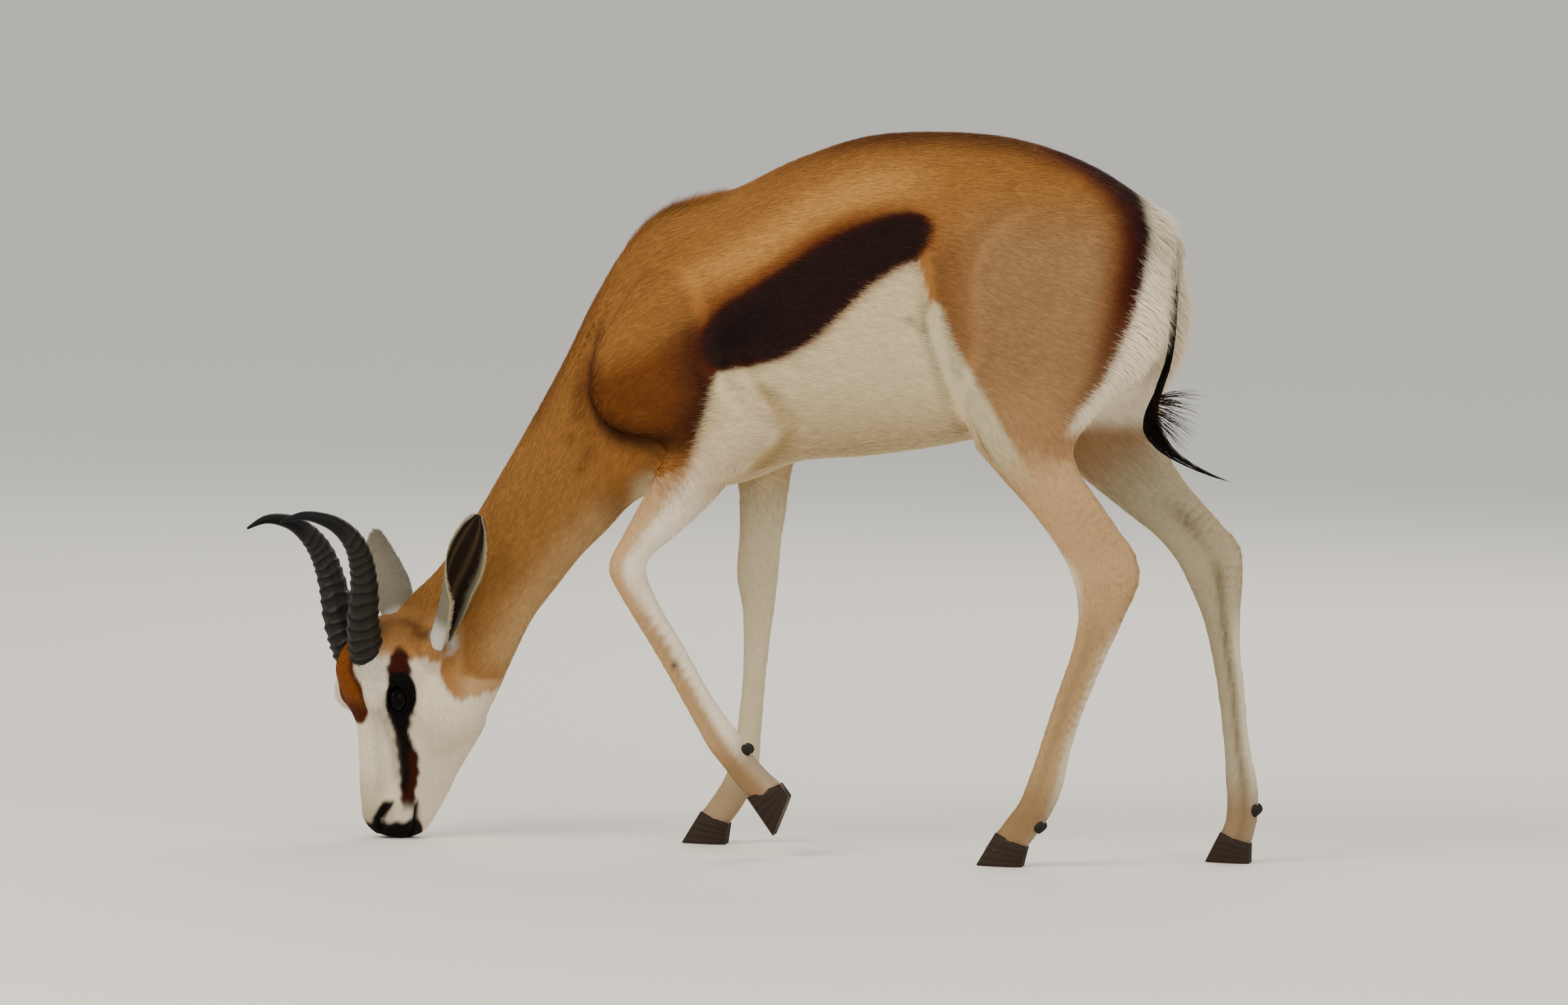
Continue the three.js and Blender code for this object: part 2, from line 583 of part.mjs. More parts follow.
// Tail: a thin stalk that hangs along the rump. x, y, z, radius.
const TAIL = [
  [378, 0, 690, 13],
  [400, 0, 678, 12],
  [412, 0, 652, 9],
  [413, 0, 615, 7],
  [410, 0, 579, 5.8],
  [404, 0, 546, 5],
  [396, 0, 516, 4.4],
  [388, -1, 492, 3.4],
];
const TUFT_FROM = 5.2; // row of TAIL where the black tuft begins

// The tuft's middle line, x and z: down along the stalk, then swept back by the walk.
const SWEEP = [
  [406, 556],
  [401, 532],
  [392, 508],
  [385, 487],
  [386, 467],
  [401, 447],
  [424, 432],
  [449, 421],
  [476, 412],
];

// Flat tapered locks that leave the stalk in turn, follow the middle line and spread at their tips.
function tuft(stalk, { normal, offset }) {
  const random = seeded(7);
  const STEPS = 5;
  const locks = Array.from({ length: TAIL_LOCKS }, (_, i) => {
    const k = i / (TAIL_LOCKS - 1);
    const angle = i * 2.4;
    const [from, to] = [lerp(0.2, 2.6, k), lerp(4.6, 8, k * (0.75 + 0.25 * random()))];
    const splay = lerp(8, 18, random());
    const rings = Array.from({ length: STEPS + 1 }, (_, s) => {
      const share = s / STEPS;
      const [x, z] = rowAt(SWEEP, lerp(from, to, share));
      const out = splay * share ** 1.5;
      const middle = new THREE.Vector3(x, out * Math.sin(angle), z + 0.7 * out * Math.cos(angle));
      const [wide, thick] = [lerp(7.5, 1, share ** 1.3), lerp(2.6, 0.5, share)];
      const flat = new THREE.Vector3(Math.cos(angle), Math.sin(angle), 0);
      const edge = new THREE.Vector3(-0.6 * Math.sin(angle), 0.6 * Math.cos(angle), 0.8);
      return [[1, 0], [0, 1], [-1, 0], [0, -1]].map(([a, b]) =>
        middle.clone().addScaledVector(edge, a * wide).addScaledVector(flat, b * thick));
    });
    return skin(rings);
  });
  return largest(join(stalk, ...locks).trimByPlane(normal.toArray(), offset + GAP / 2));
}

// Repeatable random numbers from 0 to 1.
function seeded(state) {
  return () => {
    state = (state * 16807) % 2147483647;
    return state / 2147483647;
  };
}

// Assembly

const group = new THREE.Group();

function add(name, piece, color, roughness = 0.9) {
  const { numProp, vertProperties, triVerts } = piece.getMesh();
  const positions = new Float32Array((vertProperties.length / numProp) * 3);
  for (let i = 0; i < positions.length / 3; i++) {
    positions.set(vertProperties.subarray(i * numProp, i * numProp + 3), i * 3);
  }
  const geometry = new THREE.BufferGeometry();
  geometry.setAttribute("position", new THREE.BufferAttribute(positions, 3));
  geometry.setIndex(new THREE.BufferAttribute(new Uint32Array(triVerts), 1));
  geometry.computeVertexNormals();
  const mesh = new THREE.Mesh(geometry, new THREE.MeshStandardMaterial({ color, roughness, metalness: 0 }));
  mesh.name = name;
  group.add(mesh);
}

const legs = Object.fromEntries(Object.entries(LEGS).map(([name, spec]) => [name, leg(spec)]));

const tailWhole = cordAlong(TAIL, 10, 3);
const tailPoints = spread(TAIL, 3).map(([x, y, z]) => new THREE.Vector3(x, y, z));
const tailCuts = [5, Math.round(TUFT_FROM * 3)].map((i) => across(tailPoints, i));
const [tailRoot, tailStalk, tailEnd] = partAt(tailWhole, tailCuts);

const trunkTube = tube(TRUNK, 20, 2, 2.25);
const bodyWhole = join(trunkTube, tailRoot, ...Object.values(legs).map((l) => l.inBody));
const bodyCuts = [3.9, 7.4, 12, 17].map((u) => planeAt(TRUNK, u));
const [rump, barrel, chest, neck, neckEnd] = partAt(bodyWhole, bodyCuts);
const { head, horns, ears } = makeHead(neckEnd);

add("torso_rear", rump, FAWN);
add("torso_middle", barrel, FAWN);
add("torso_front", chest, FAWN);
add("neck", neck, FAWN);
add("head", head, WHITE);
["left", "right"].forEach((side, i) => {
  const sign = i ? -1 : 1;
  add(`horn_${side}`, largest(horns[i].subtract(head)), HORN_GREY, 0.5);
  add(`ear_${side}`, largest(ears[i].subtract(head).subtract(neck)), EAR_GREY);
  add(`eye_${side}`, eyeball(0, 14, 8)(sign), EYE_BLACK, 0.1);
});
for (const [name, { upper, cannon, pastern, claws, dewclaws }] of Object.entries(legs)) {
  add(`${name}_upper`, upper, name.startsWith("fore") ? WHITE : FAWN);
  add(`${name}_cannon`, cannon, FAWN);
  add(`${name}_pastern`, pastern, FAWN);
  ["left", "right"].forEach((side, i) => {
    add(`${name}_claw_${side}`, largest(claws[i].subtract(pastern)), HOOF_GREY, 0.6);
    add(`${name}_dewclaw_${side}`, largest(dewclaws[i].subtract(pastern)), TUFT_BLACK, 0.6);
  });
}
add("tail", largest(tailStalk.subtract(rump)), WHITE);
add("tail_tuft", tuft(tailEnd, tailCuts[1]), TUFT_BLACK);

// The origin is under the middle of the whole animal, on the floor.
const box = new THREE.Box3().setFromObject(group);
group.position.set(-(box.min.x + box.max.x) / 2, -(box.min.y + box.max.y) / 2, -box.min.z);

export default group;
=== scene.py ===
import math

import bmesh
import bpy
import numpy as np
from mathutils import Matrix, Vector


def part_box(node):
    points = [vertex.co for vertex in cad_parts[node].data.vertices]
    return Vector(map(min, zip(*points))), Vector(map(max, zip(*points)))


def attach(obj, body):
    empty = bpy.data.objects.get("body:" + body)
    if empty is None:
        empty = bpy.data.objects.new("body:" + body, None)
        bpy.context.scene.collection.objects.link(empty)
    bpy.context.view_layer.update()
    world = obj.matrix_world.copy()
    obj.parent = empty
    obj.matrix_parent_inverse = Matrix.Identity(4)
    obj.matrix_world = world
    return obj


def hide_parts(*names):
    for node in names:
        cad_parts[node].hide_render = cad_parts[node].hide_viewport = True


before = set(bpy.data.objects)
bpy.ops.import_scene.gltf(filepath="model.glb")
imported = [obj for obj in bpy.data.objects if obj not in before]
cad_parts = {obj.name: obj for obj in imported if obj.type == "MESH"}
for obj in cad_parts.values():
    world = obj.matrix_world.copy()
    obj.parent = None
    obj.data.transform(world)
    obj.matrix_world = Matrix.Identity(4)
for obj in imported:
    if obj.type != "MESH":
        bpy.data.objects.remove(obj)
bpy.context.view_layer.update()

# Camera: at the animal's left, a little behind its shoulder and a little above its back, far off
# with a long lens. The photographer held it slightly turned, so the ground falls to the right.
AZIMUTH, ELEVATION, ROLL = math.radians(8), math.radians(4), math.radians(-1.3)
CAMERA_AWAY = 15.0
VIEW_WIDTH = 1.682
eye_low, eye_high = (np.array(corner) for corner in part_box("eye_left"))
EYE_AT = (eye_low + eye_high) / 2
AIM = EYE_AT + [0.4126, 0.037, 0.222]

right = np.array([math.cos(AZIMUTH), math.sin(AZIMUTH), 0])
forward = np.array(
    [
        -math.sin(AZIMUTH) * math.cos(ELEVATION),
        math.cos(AZIMUTH) * math.cos(ELEVATION),
        -math.sin(ELEVATION),
    ]
)
up = np.cross(right, forward)
turned_right = math.cos(ROLL) * right - math.sin(ROLL) * up
turned_up = math.sin(ROLL) * right + math.cos(ROLL) * up
camera = bpy.data.objects.new("camera", bpy.data.cameras.new("camera"))
bpy.context.scene.collection.objects.link(camera)
place = np.eye(4)
place[:3, 0], place[:3, 1], place[:3, 2] = turned_right, turned_up, -forward
place[:3, 3] = AIM - CAMERA_AWAY * forward
camera.matrix_world = Matrix(place.tolist())
camera.data.sensor_width = 36
camera.data.lens = 36 * CAMERA_AWAY / VIEW_WIDTH
camera.data.clip_end = 200
bpy.context.scene.camera = camera

# Floor and light: a plain pale floor, with a large soft lamp high in front at the left, a weaker one
# at the right and a pale room all round.


def linear(hex_colour, alpha=True):
    """sRGB hex to linear light: v / 12.92 below 0.04045, else ((v + 0.055) / 1.055) to the power 2.4."""
    v = np.array([int(hex_colour[i : i + 2], 16) / 255 for i in (1, 3, 5)])
    v = np.where(v < 0.04045, v / 12.92, ((v + 0.055) / 1.055) ** 2.4)
    return (*v.tolist(), 1.0) if alpha else v


def add_node(tree, kind, settings=None, links=None, **attributes):
    """Adds a node, sets its input sockets and its attributes, and links sockets to it."""
    made = tree.nodes.new(kind)
    for key, value in attributes.items():
        setattr(made, key, value)
    for key, value in (settings or {}).items():
        made.inputs[key].default_value = value
    for key, source in (links or {}).items():
        tree.links.new(source, made.inputs[key])
    return made


def new_material(name, roughness, specular=0.5):
    """A material with one Principled shader, its roughness and its share of mirror-like light set."""
    material = bpy.data.materials.new(name)
    material.use_nodes = True
    tree = material.node_tree
    tree.nodes.clear()
    shader = {"Roughness": roughness, "Specular IOR Level": specular}
    surface = add_node(tree, "ShaderNodeBsdfPrincipled", shader)
    add_node(tree, "ShaderNodeOutputMaterial", links={"Surface": surface.outputs["BSDF"]})
    return material, tree, surface


def put_mesh(name, points, faces, smooth=True):
    """Makes an object of a point array and a face array, at the origin, unturned and unscaled."""
    mesh = bpy.data.meshes.new(name)
    mesh.from_pydata(points, [], faces if isinstance(faces, list) else faces.tolist())
    mesh.update()
    mesh.polygons.foreach_set("use_smooth", np.full(len(mesh.polygons), smooth))
    made = bpy.data.objects.new(name, mesh)
    bpy.context.scene.collection.objects.link(made)
    return made


floor_material, tree, surface = new_material("matt_pale_floor", 0.9)
grain = add_node(tree, "ShaderNodeTexNoise", {"Scale": 3.0, "Detail": 4.0})
tint = add_node(tree, "ShaderNodeValToRGB", links={"Fac": grain.outputs["Fac"]})
tint.color_ramp.elements[0].color = linear("#dcd8d0")
tint.color_ramp.elements[1].color = linear("#e4e0d8")
tree.links.new(tint.outputs["Color"], surface.inputs["Base Color"])
FLOOR_REACH = 60.0  # metres each way, so its edges are out of view
corners = FLOOR_REACH * np.array([[-1, -1, 0], [1, -1, 0], [1, 1, 0], [-1, 1, 0.0]])
floor = put_mesh("floor", corners, [[0, 1, 2, 3]])
floor.data.materials.append(floor_material)

for name, spot, size, power in [
    ("key", (-2.6, -3.4, 3.6), 2.6, 230),
    ("fill", (3.4, -3.0, 2.2), 3.0, 80),
    ("back", (0.8, 3.6, 3.2), 3.0, 110),
]:
    lamp = bpy.data.objects.new(name, bpy.data.lights.new(name, "AREA"))
    lamp.data.size = size
    lamp.data.energy = power
    lamp.data.color = linear("#fff6e8", False)
    lamp.location = spot
    lamp.rotation_mode = "QUATERNION"
    lamp.rotation_quaternion = (Vector(spot) - Vector((0, 0, 0.4))).to_track_quat("Z", "Y")
    bpy.context.scene.collection.objects.link(lamp)

world = bpy.data.worlds.new("room")
bpy.context.scene.world = world
world.use_nodes = True
world.node_tree.nodes["Background"].inputs["Color"].default_value = linear("#e6e8e8")
world.node_tree.nodes["Background"].inputs["Strength"].default_value = 1.0

# Skin: one tanned hide drawn over the whole form, from the lips to the coronets of the hoofs and the
# root of the tail. Its sections run down the trunk and neck, each leg and the head, and are blended
# into one surface, with the lids, nostrils and mouth worked into the head.
MM = 0.001
LIP_HEIGHT = 154
HEAD_TURN = math.radians(38)
HEAD_AT = np.array([-443.0, -8.0])
FACE = np.array([-math.cos(HEAD_TURN), -math.sin(HEAD_TURN), 0])
LEFT = np.array([math.sin(HEAD_TURN), -math.cos(HEAD_TURN), 0])

# Trunk and neck, from the rump along the arched back to the poll: upper x, z, lower x, z, middle y,
# half width, how much wider the upper side is, and how far each side is hollowed.
TRUNK = [
    [402, 655, 394, 585, 0, 24, 0, 0],
    [392, 692, 384, 545, 0, 58, 0, 0],
    [364, 719, 360, 515, 0, 82, -0.06, 0],
    [309, 751, 299, 477, 0, 92, -0.12, 0],
    [236, 774, 229, 458, 0, 95, -0.16, 0],
    [158, 780, 158, 441, 0, 96, -0.16, 0],
    [73, 773, 81, 428, 0, 107, -0.14, 0],
    [-4, 746, 10, 420, 0, 111, -0.1, 0],
    [-74, 711, -46, 398, 0, 103, -0.06, 0],
    [-144, 688, -95, 386, 0, 86, -0.06, 0],
    [-186, 648, -135, 380, 0, 70, -0.04, 0],
    [-222, 586, -160, 376, 0, 58, 0, 0],
    [-248, 530, -178, 364, 0, 51, 0.05, 0],
    [-281, 466, -198, 341, 1, 46, 0.06, 0],
    [-315, 405, -228, 310, 4, 43, 0.06, 0],
    [-352, 341, -256, 275, 8, 40, 0.05, 0],
    [-388, 290, -281, 241, 12, 38, 0.04, 0],
    [-415, 262, -299, 204, 14, 37, 0, 0],
    [-438, 232, -312, 172, 12, 37, 0, 0],
    [-446, 190, -324, 144, 6, 36, 0, 0],
    [-440, 150, -337, 116, -4, 32, 0, 0],
    [-430, 118, -376, 92, -6, 12, 0, 0],
]

# The legs, each from where it leaves the body down to the coronet, in the same columns with the
# front of the leg in place of the upper side.
LEFT_FORE = [
    [-140, 640, -100, 648, -52, 10, 0, 0],
    [-176, 600, -66, 622, -60, 24, 0, 0],
    [-206, 540, -46, 570, -66, 31, 0, 0],
    [-212, 486, -34, 516, -68, 33, 0, 0],
    [-186, 452, -12, 476, -67, 32, 0, 0],
    [-134, 436, -12, 448, -66, 30, 0, 0],
    [-142, 405, -47, 413, -64, 25, 0.08, 0],
    [-159, 372, -81, 373, -62, 21.5, 0.08, 0],
    [-177, 337, -116, 339, -61, 19, 0.05, 0],
    [-187, 315, -138, 320, -60, 18.5, 0.05, 0.05],
    [-188, 298, -146, 303, -60, 18.5, 0.05, 0.05],
    [-178, 278, -141, 285, -60, 17, 0, 0.1],
    [-164, 256, -129, 261, -60, 14.5, 0, 0.12],
    [-136, 213, -103, 220, -59, 12.5, 0, 0.16],
    [-109, 168, -77, 176, -58, 12.5, 0, 0.16],
    [-90, 136, -57, 148, -58, 14.5, 0, 0.1],
    [-76, 113, -41, 128, -58, 17, 0, 0.05],
    [-61, 95, -28, 109, -58, 16.5, 0, 0],
    [-46, 76, -12, 92, -58, 15.5, 0, 0],
    [-31, 61, 5, 77, -58, 16.5, 0, 0],
    [-20, 48, 10, 62, -58, 13, 0, 0],
]
RIGHT_FORE = [
    [-140, 640, -100, 648, 52, 10, 0, 0],
    [-176, 600, -66, 622, 60, 24, 0, 0],
    [-202, 540, -42, 570, 66, 31, 0, 0],
    [-196, 488, -18, 516, 68, 33, 0, 0],
    [-142, 450, 0, 474, 67, 32, 0, 0],
    [-88, 424, -2, 440, 66, 28, 0, 0],
    [-71, 391, -10, 404, 66, 23, 0.08, 0],
    [-68, 358, -14, 364, 66, 20.5, 0.08, 0],
    [-68, 332, -18, 334, 67, 19, 0.05, 0],
    [-69, 307, -20, 308, 67, 18.5, 0.05, 0.05],
    [-67, 281, -23, 279, 68, 18, 0, 0.08],
    [-62, 256, -26, 253, 68, 15, 0, 0.12],
    [-60, 209, -31, 207, 68, 12.5, 0, 0.16],
    [-61, 166, -34, 165, 68, 12.5, 0, 0.16],
    [-65, 124, -37, 121, 68, 14, 0, 0.12],
    [-69, 96, -38, 92, 68, 17, 0, 0.05],
    [-77, 72, -43, 66, 68, 16.5, 0, 0],
    [-90, 50, -57, 39, 68, 15.5, 0, 0],
    [-102, 33, -71, 20, 68, 16, 0, 0],
    [-108, 22, -80, 12, 68, 13, 0, 0],
]
LEFT_HIND = [
    [232, 720, 330, 712, -48, 12, 0, 0],
    [190, 694, 368, 690, -56, 26, 0, 0],
    [163, 646, 396, 646, -63, 36, 0, 0],
    [156, 590, 403, 588, -66, 39, -0.05, 0],
    [167, 530, 380, 541, -67, 37, -0.05, 0],
    [184, 478, 342, 494, -68, 33, 0, 0],
    [206, 444, 314, 455, -68, 29, 0.05, 0],
    [234, 412, 318, 426, -67, 25, 0.1, 0],
    [261, 383, 339, 396, -66, 21.5, 0.15, 0.06],
    [286, 352, 363, 363, -64, 18, 0.2, 0.25],
    [304, 323, 381, 337, -63, 15.5, 0.12, 0.38],
    [315, 292, 384, 306, -63, 16, 0.08, 0.14],
    [318, 263, 368, 266, -63, 17, 0.04, 0.06],
    [312, 230, 353, 231, -63, 14.5, 0, 0.12],
    [302, 198, 340, 199, -64, 13, 0, 0.16],
    [290, 160, 326, 161, -65, 12.5, 0, 0.16],
    [279, 122, 315, 122, -66, 14, 0, 0.1],
    [270, 94, 309, 90, -67, 17, 0, 0.05],
    [261, 70, 299, 62, -68, 16.5, 0, 0],
    [248, 51, 284, 38, -68, 15.5, 0, 0],
    [236, 34, 270, 19, -68, 16, 0, 0],
    [229, 22, 262, 11, -68, 13, 0, 0],
]
RIGHT_HIND = [
    [232, 720, 330, 712, 48, 12, 0, 0],
    [190, 694, 368, 690, 56, 26, 0, 0],
    [163, 646, 400, 646, 63, 36, 0, 0],
    [162, 590, 409, 592, 66, 39, -0.05, 0],
    [190, 524, 403, 540, 68, 37, -0.05, 0],
    [233, 464, 390, 492, 68, 33, 0, 0],
    [281, 425, 392, 456, 68, 28, 0.05, 0],
    [319, 396, 406, 424, 67, 24, 0.1, 0],
    [355, 369, 430, 394, 66, 20.5, 0.15, 0.08],
    [387, 345, 457, 366, 65, 17, 0.2, 0.25],
    [408, 320, 478, 342, 64, 15.5, 0.12, 0.38],
    [423, 294, 482, 308, 64, 16, 0.08, 0.14],
    [438, 262, 480, 266, 64, 16.5, 0.04, 0.06],
    [448, 225, 481, 226, 64, 14, 0, 0.12],
    [455, 190, 486, 191, 64, 12.5, 0, 0.16],
    [461, 150, 490, 151, 64, 12.5, 0, 0.16],
    [465, 118, 495, 118, 64, 14, 0, 0.1],
    [467, 91, 502, 90, 64, 17, 0, 0.05],
    [469, 66, 504, 62, 64, 16.5, 0, 0],
    [468, 46, 502, 38, 64, 15.5, 0, 0],
    [463, 31, 496, 19, 64, 16, 0, 0],
    [458, 21, 490, 12, 64, 13, 0, 0],
]

# The head stands upright: t runs from the eyes down to the lips, l to the animal's left, and d from
# the middle towards the face. Columns: t, d of the face's line, d of the jaw's line, half width,
# how much wider the face side is.
HEAD = [
    [-88, -8, -46, 12, 0],
    [-81, 14, -64, 27, 0],
    [-66, 32, -82, 38, 0.02],
    [-48, 45, -98, 44, 0.06],
    [-28, 49, -110, 49, 0.1],
    [-8, 43, -120, 49, 0.1],
    [12, 33, -126, 47, 0.06],
    [30, 25, -127, 42.5, 0],
    [48, 22, -118, 40, -0.05],
    [68, 21, -105, 36, -0.08],
    [88, 20.5, -93, 32, -0.08],
    [107, 19, -84, 29, -0.04],
    [124, 16.5, -74, 27, 0],
    [138, 11, -65, 24.5, 0],
    [148, 0, -56, 19.5, 0],
    [154, -12, -44, 10, 0],
]


def head_place(tld):
    """Head numbers t, l, d to the drawing's millimetres: HEAD_AT + l LEFT + d FACE, at LIP_HEIGHT - t."""
    tld = np.asarray(tld, float)
    flat = tld[..., 1:2] * LEFT + tld[..., 2:3] * FACE
    flat[..., :2] += HEAD_AT
    flat[..., 2] += LIP_HEIGHT - tld[..., 0]
    return flat


# From the drawing's own zero to the middle of the whole animal.
SHIFT = EYE_AT / MM - head_place([0, 36, 1])


def catmull(rows, u):
    """The row at each u on a Catmull-Rom curve through rows, one row at each whole number."""
    rows, u = np.asarray(rows, float), np.asarray(u, float)
    i = np.clip(np.floor(u).astype(int), 0, len(rows) - 2)
    t = (u - i)[:, None]
    a, b, c, d = (rows[np.clip(i + k, 0, len(rows) - 1)] for k in (-1, 0, 1, 2))
    return 0.5 * (2 * b + t * (c - a + t * (2 * a - 5 * b + 4 * c - d + t * (3 * b - a - 3 * c + d))))


def turn_once(sides):
    """Angles evenly round a full turn."""
    return np.linspace(0, 2 * np.pi, sides, endpoint=False)


def superoval(angle, power):
    """Cosine and sine, each raised to 2 / power with its sign kept: 2 gives an ellipse, more is boxier."""
    c, s = np.cos(angle), np.sin(angle)
    return np.sign(c) * abs(c) ** (2 / power), np.sign(s) * abs(s) ** (2 / power)


def body_grid(rows, steps, sides, power):
    """Sections of a trunk or limb: the point at angle a goes a share (1 + cos a) / 2 of the way from the
    back line to the front line, and half (1 + egg cos a) (1 - waist sin² a) sin a to the side."""
    path = catmull(rows, np.linspace(0, len(rows) - 1, (len(rows) - 1) * steps + 1))
    c, s = superoval(turn_once(sides), power)
    front_x, front_z, back_x, back_z, y, half, egg, waist = (path[:, k : k + 1] for k in range(8))
    x = back_x + (front_x - back_x) * (1 + c) / 2
    z = back_z + (front_z - back_z) * (1 + c) / 2
    return np.stack([x, y + half * s * (1 + egg * c) * (1 - waist * s * s), z], -1)


def head_grid(steps, sides, power):
    """Sections of the head, each flat at one t: d goes from the jaw's line to the face's."""
    path = catmull(HEAD, np.linspace(0, len(HEAD) - 1, (len(HEAD) - 1) * steps + 1))
    c, s = superoval(turn_once(sides), power)
    t, top, bottom, half, egg = (path[:, k : k + 1] for k in range(5))
    l = half * s * (1 + egg * c)
    d = bottom + (top - bottom) * (1 + c) / 2
    return head_place(np.stack([np.minimum(t, LIP_HEIGHT) + 0 * l, l, d], -1))


def ball_grid(middle, axes, radii, high=16, sides=24):
    """A ball with its radii along three axes: latitude times longitude."""
    v, a = np.meshgrid(np.linspace(0.06, np.pi - 0.06, high), turn_once(sides), indexing="ij")
    unit = np.stack([np.sin(v) * np.cos(a), np.sin(v) * np.sin(a), np.cos(v)], -1)
    return np.asarray(middle) + (unit * radii) @ np.asarray(axes)


def cord_grid(path, sides):
    """A round cord along points with a radius: each ring stands square to the path."""
    points, radius = path[:, :3], path[:, 3]
    along = np.gradient(points, axis=0)
    along /= np.linalg.norm(along, axis=1, keepdims=True)
    across = np.cross([0.31, 0.95, 0.07], along)
    across /= np.linalg.norm(across, axis=1, keepdims=True)
    other = np.cross(along, across)
    a = turn_once(sides)[None, :, None]
    square = np.cos(a) * across[:, None] + np.sin(a) * other[:, None]
    return points[:, None] + radius[:, None, None] * square


def shell(grid):
    """Points and triangles of a closed surface: a grid of rings whose two ends close on a middle point."""
    rings, sides = grid.shape[:2]
    points = np.concatenate([grid.reshape(-1, 3), grid[0].mean(0)[None], grid[-1].mean(0)[None]])
    i, j = np.meshgrid(np.arange(rings - 1), np.arange(sides), indexing="ij")
    k = (j + 1) % sides
    a, b, c, d = i * sides + j, (i + 1) * sides + j, (i + 1) * sides + k, i * sides + k
    walls = np.concatenate([np.stack([a, b, c], -1).reshape(-1, 3), np.stack([a, c, d], -1).reshape(-1, 3)])
    side, after = np.arange(sides), (np.arange(sides) + 1) % sides
    last = (rings - 1) * sides
    first_cap = np.stack([np.full(sides, rings * sides), side, after], -1)
    last_cap = np.stack([np.full(sides, rings * sides + 1), last + after, last + side], -1)
    return points, np.concatenate([walls, first_cap, last_cap])


def together(shells):
    """Several point and triangle arrays as one pair."""
    starts = np.cumsum([0, *[len(p) for p, _ in shells[:-1]]])
    triangles = [t + start for (_, t), start in zip(shells, starts)]
    return np.concatenate([p for p, _ in shells]), np.concatenate(triangles)


HEAD_AXES = np.array([[0, 0, -1.0], LEFT, FACE])  # along t, l and d
forms = [shell(body_grid(TRUNK, 6, 64, 2.25))]
forms += [shell(body_grid(rows, 6, 40, 2.2)) for rows in (LEFT_FORE, RIGHT_FORE, LEFT_HIND, RIGHT_HIND)]
forms.append(shell(head_grid(6, 56, 2.2)))
for sign in (1, -1):
    for (t, l, d), radii in [
        ((-4, 33, 8), (26, 22, 28)),  # bony rim of the eye
        ((133, 11.5, -15), (18, 12.5, 16)),  # upper lip
        ((129, 10.5, -47), (17, 11, 14)),  # lower lip
    ]:
        forms.append(shell(ball_grid(head_place([t, sign * l, d]), HEAD_AXES, radii)))
for t, l, d in [(-52, 50.8, -41), (-54, -47, -55)]:  # the muscle at each ear's root
    forms.append(shell(ball_grid(head_place([t, l, d]), HEAD_AXES, (25, 18, 24))))
points, triangles = together(forms)
raw = put_mesh("skin_forms", (points + SHIFT) * MM, triangles)
merge = raw.modifiers.new("merge", "REMESH")
merge.mode = "VOXEL"
merge.voxel_size = 5.0 * MM
skin_mesh = bpy.data.meshes.new_from_object(raw.evaluated_get(bpy.context.evaluated_depsgraph_get()))
bpy.data.objects.remove(raw)


def mesh_points(mesh):
    """The points of a mesh in the drawing's millimetres."""
    flat = np.empty(len(mesh.vertices) * 3)
    mesh.vertices.foreach_get("co", flat)
    return flat.reshape(-1, 3) / MM - SHIFT


def set_points(mesh, points):
    """Puts points in the drawing's millimetres back into a mesh."""
    mesh.vertices.foreach_set("co", ((points + SHIFT) * MM).ravel())
    mesh.update()


def mesh_normals(mesh):
    """The outward direction at each point."""
    flat = np.empty(len(mesh.vertices) * 3)
    mesh.vertices.foreach_get("normal", flat)
    return flat.reshape(-1, 3)


def edge_ends(mesh):
    """The two points of each edge, as two index arrays."""
    ends = np.empty(len(mesh.edges) * 2, int)
    mesh.edges.foreach_get("vertices", ends)
    return ends.reshape(-1, 2).T


def neighbour_sum(values, a, b):
    """For each point, the sum of the values on the points that share an edge with it."""
    n = len(values)
    return np.stack([np.bincount(a, v[b], n) + np.bincount(b, v[a], n) for v in values.T], -1)


def relax(mesh, rounds, share=None):
    """Moves each point half way to the mean of its neighbours and then a little more than that back,
    which rounds off steps and keeps the size."""
    points = mesh_points(mesh)
    a, b = edge_ends(mesh)
    count = (np.bincount(a, minlength=len(points)) + np.bincount(b, minlength=len(points)))[:, None]
    for pull in (0.5, -0.52) * rounds:
        move = pull * (neighbour_sum(points, a, b) / count - points)
        points = points + (move if share is None else share[:, None] * move)
    set_points(mesh, points)


def refine(mesh, chosen):
    """Cuts every edge of the chosen faces in half."""
    work = bmesh.new()
    work.from_mesh(mesh)
    work.faces.ensure_lookup_table()
    edges = {edge for i in np.flatnonzero(chosen) for edge in work.faces[i].edges}
    bmesh.ops.subdivide_edges(work, edges=list(edges), cuts=1, use_grid_fill=True)
    work.to_mesh(mesh)
    work.free()
    mesh.update()


def face_middles(mesh):
    """The middle of each face in the drawing's millimetres."""
    flat = np.empty(len(mesh.polygons) * 3)
    mesh.polygons.foreach_get("center", flat)
    return flat.reshape(-1, 3) / MM - SHIFT


def head_numbers(points):
    """The drawing's millimetres to head numbers t, l, d, the reverse of head_place."""
    rel = points[:, :2] - HEAD_AT
    return np.stack([LIP_HEIGHT - points[:, 2], rel @ LEFT[:2], rel @ FACE[:2]], -1)


def ease(value, start, end):
    """0 below start and 1 above end, with a soft S between."""
    t = np.clip((value - start) / (end - start), 0, 1)
    return t * t * (3 - 2 * t)


def bell(value, width):
    """1 at 0, falling off on both sides as the bell curve exp(-(value / width)²)."""
    return np.exp(-((value / width) ** 2))


def in_head(tld):
    """1 on the head, falling to 0 over the throat and the poll where the neck begins."""
    t, l, d = tld.T
    inside = ease(-t, -160, -150) * ease(t, -100, -82)
    return inside * ease(d + 0.35 * t, -150, -118) * ease(70 + 45 * ease(t, -30, 0) - abs(l), 0, 8)


EYE_RADIUS, EYE_OUT, EYE_UP = 17.0, 36.0, 1.0
LIDS_LONG, LIDS_HIGH = 14.6, 10.2  # half sizes of the opening between the lids


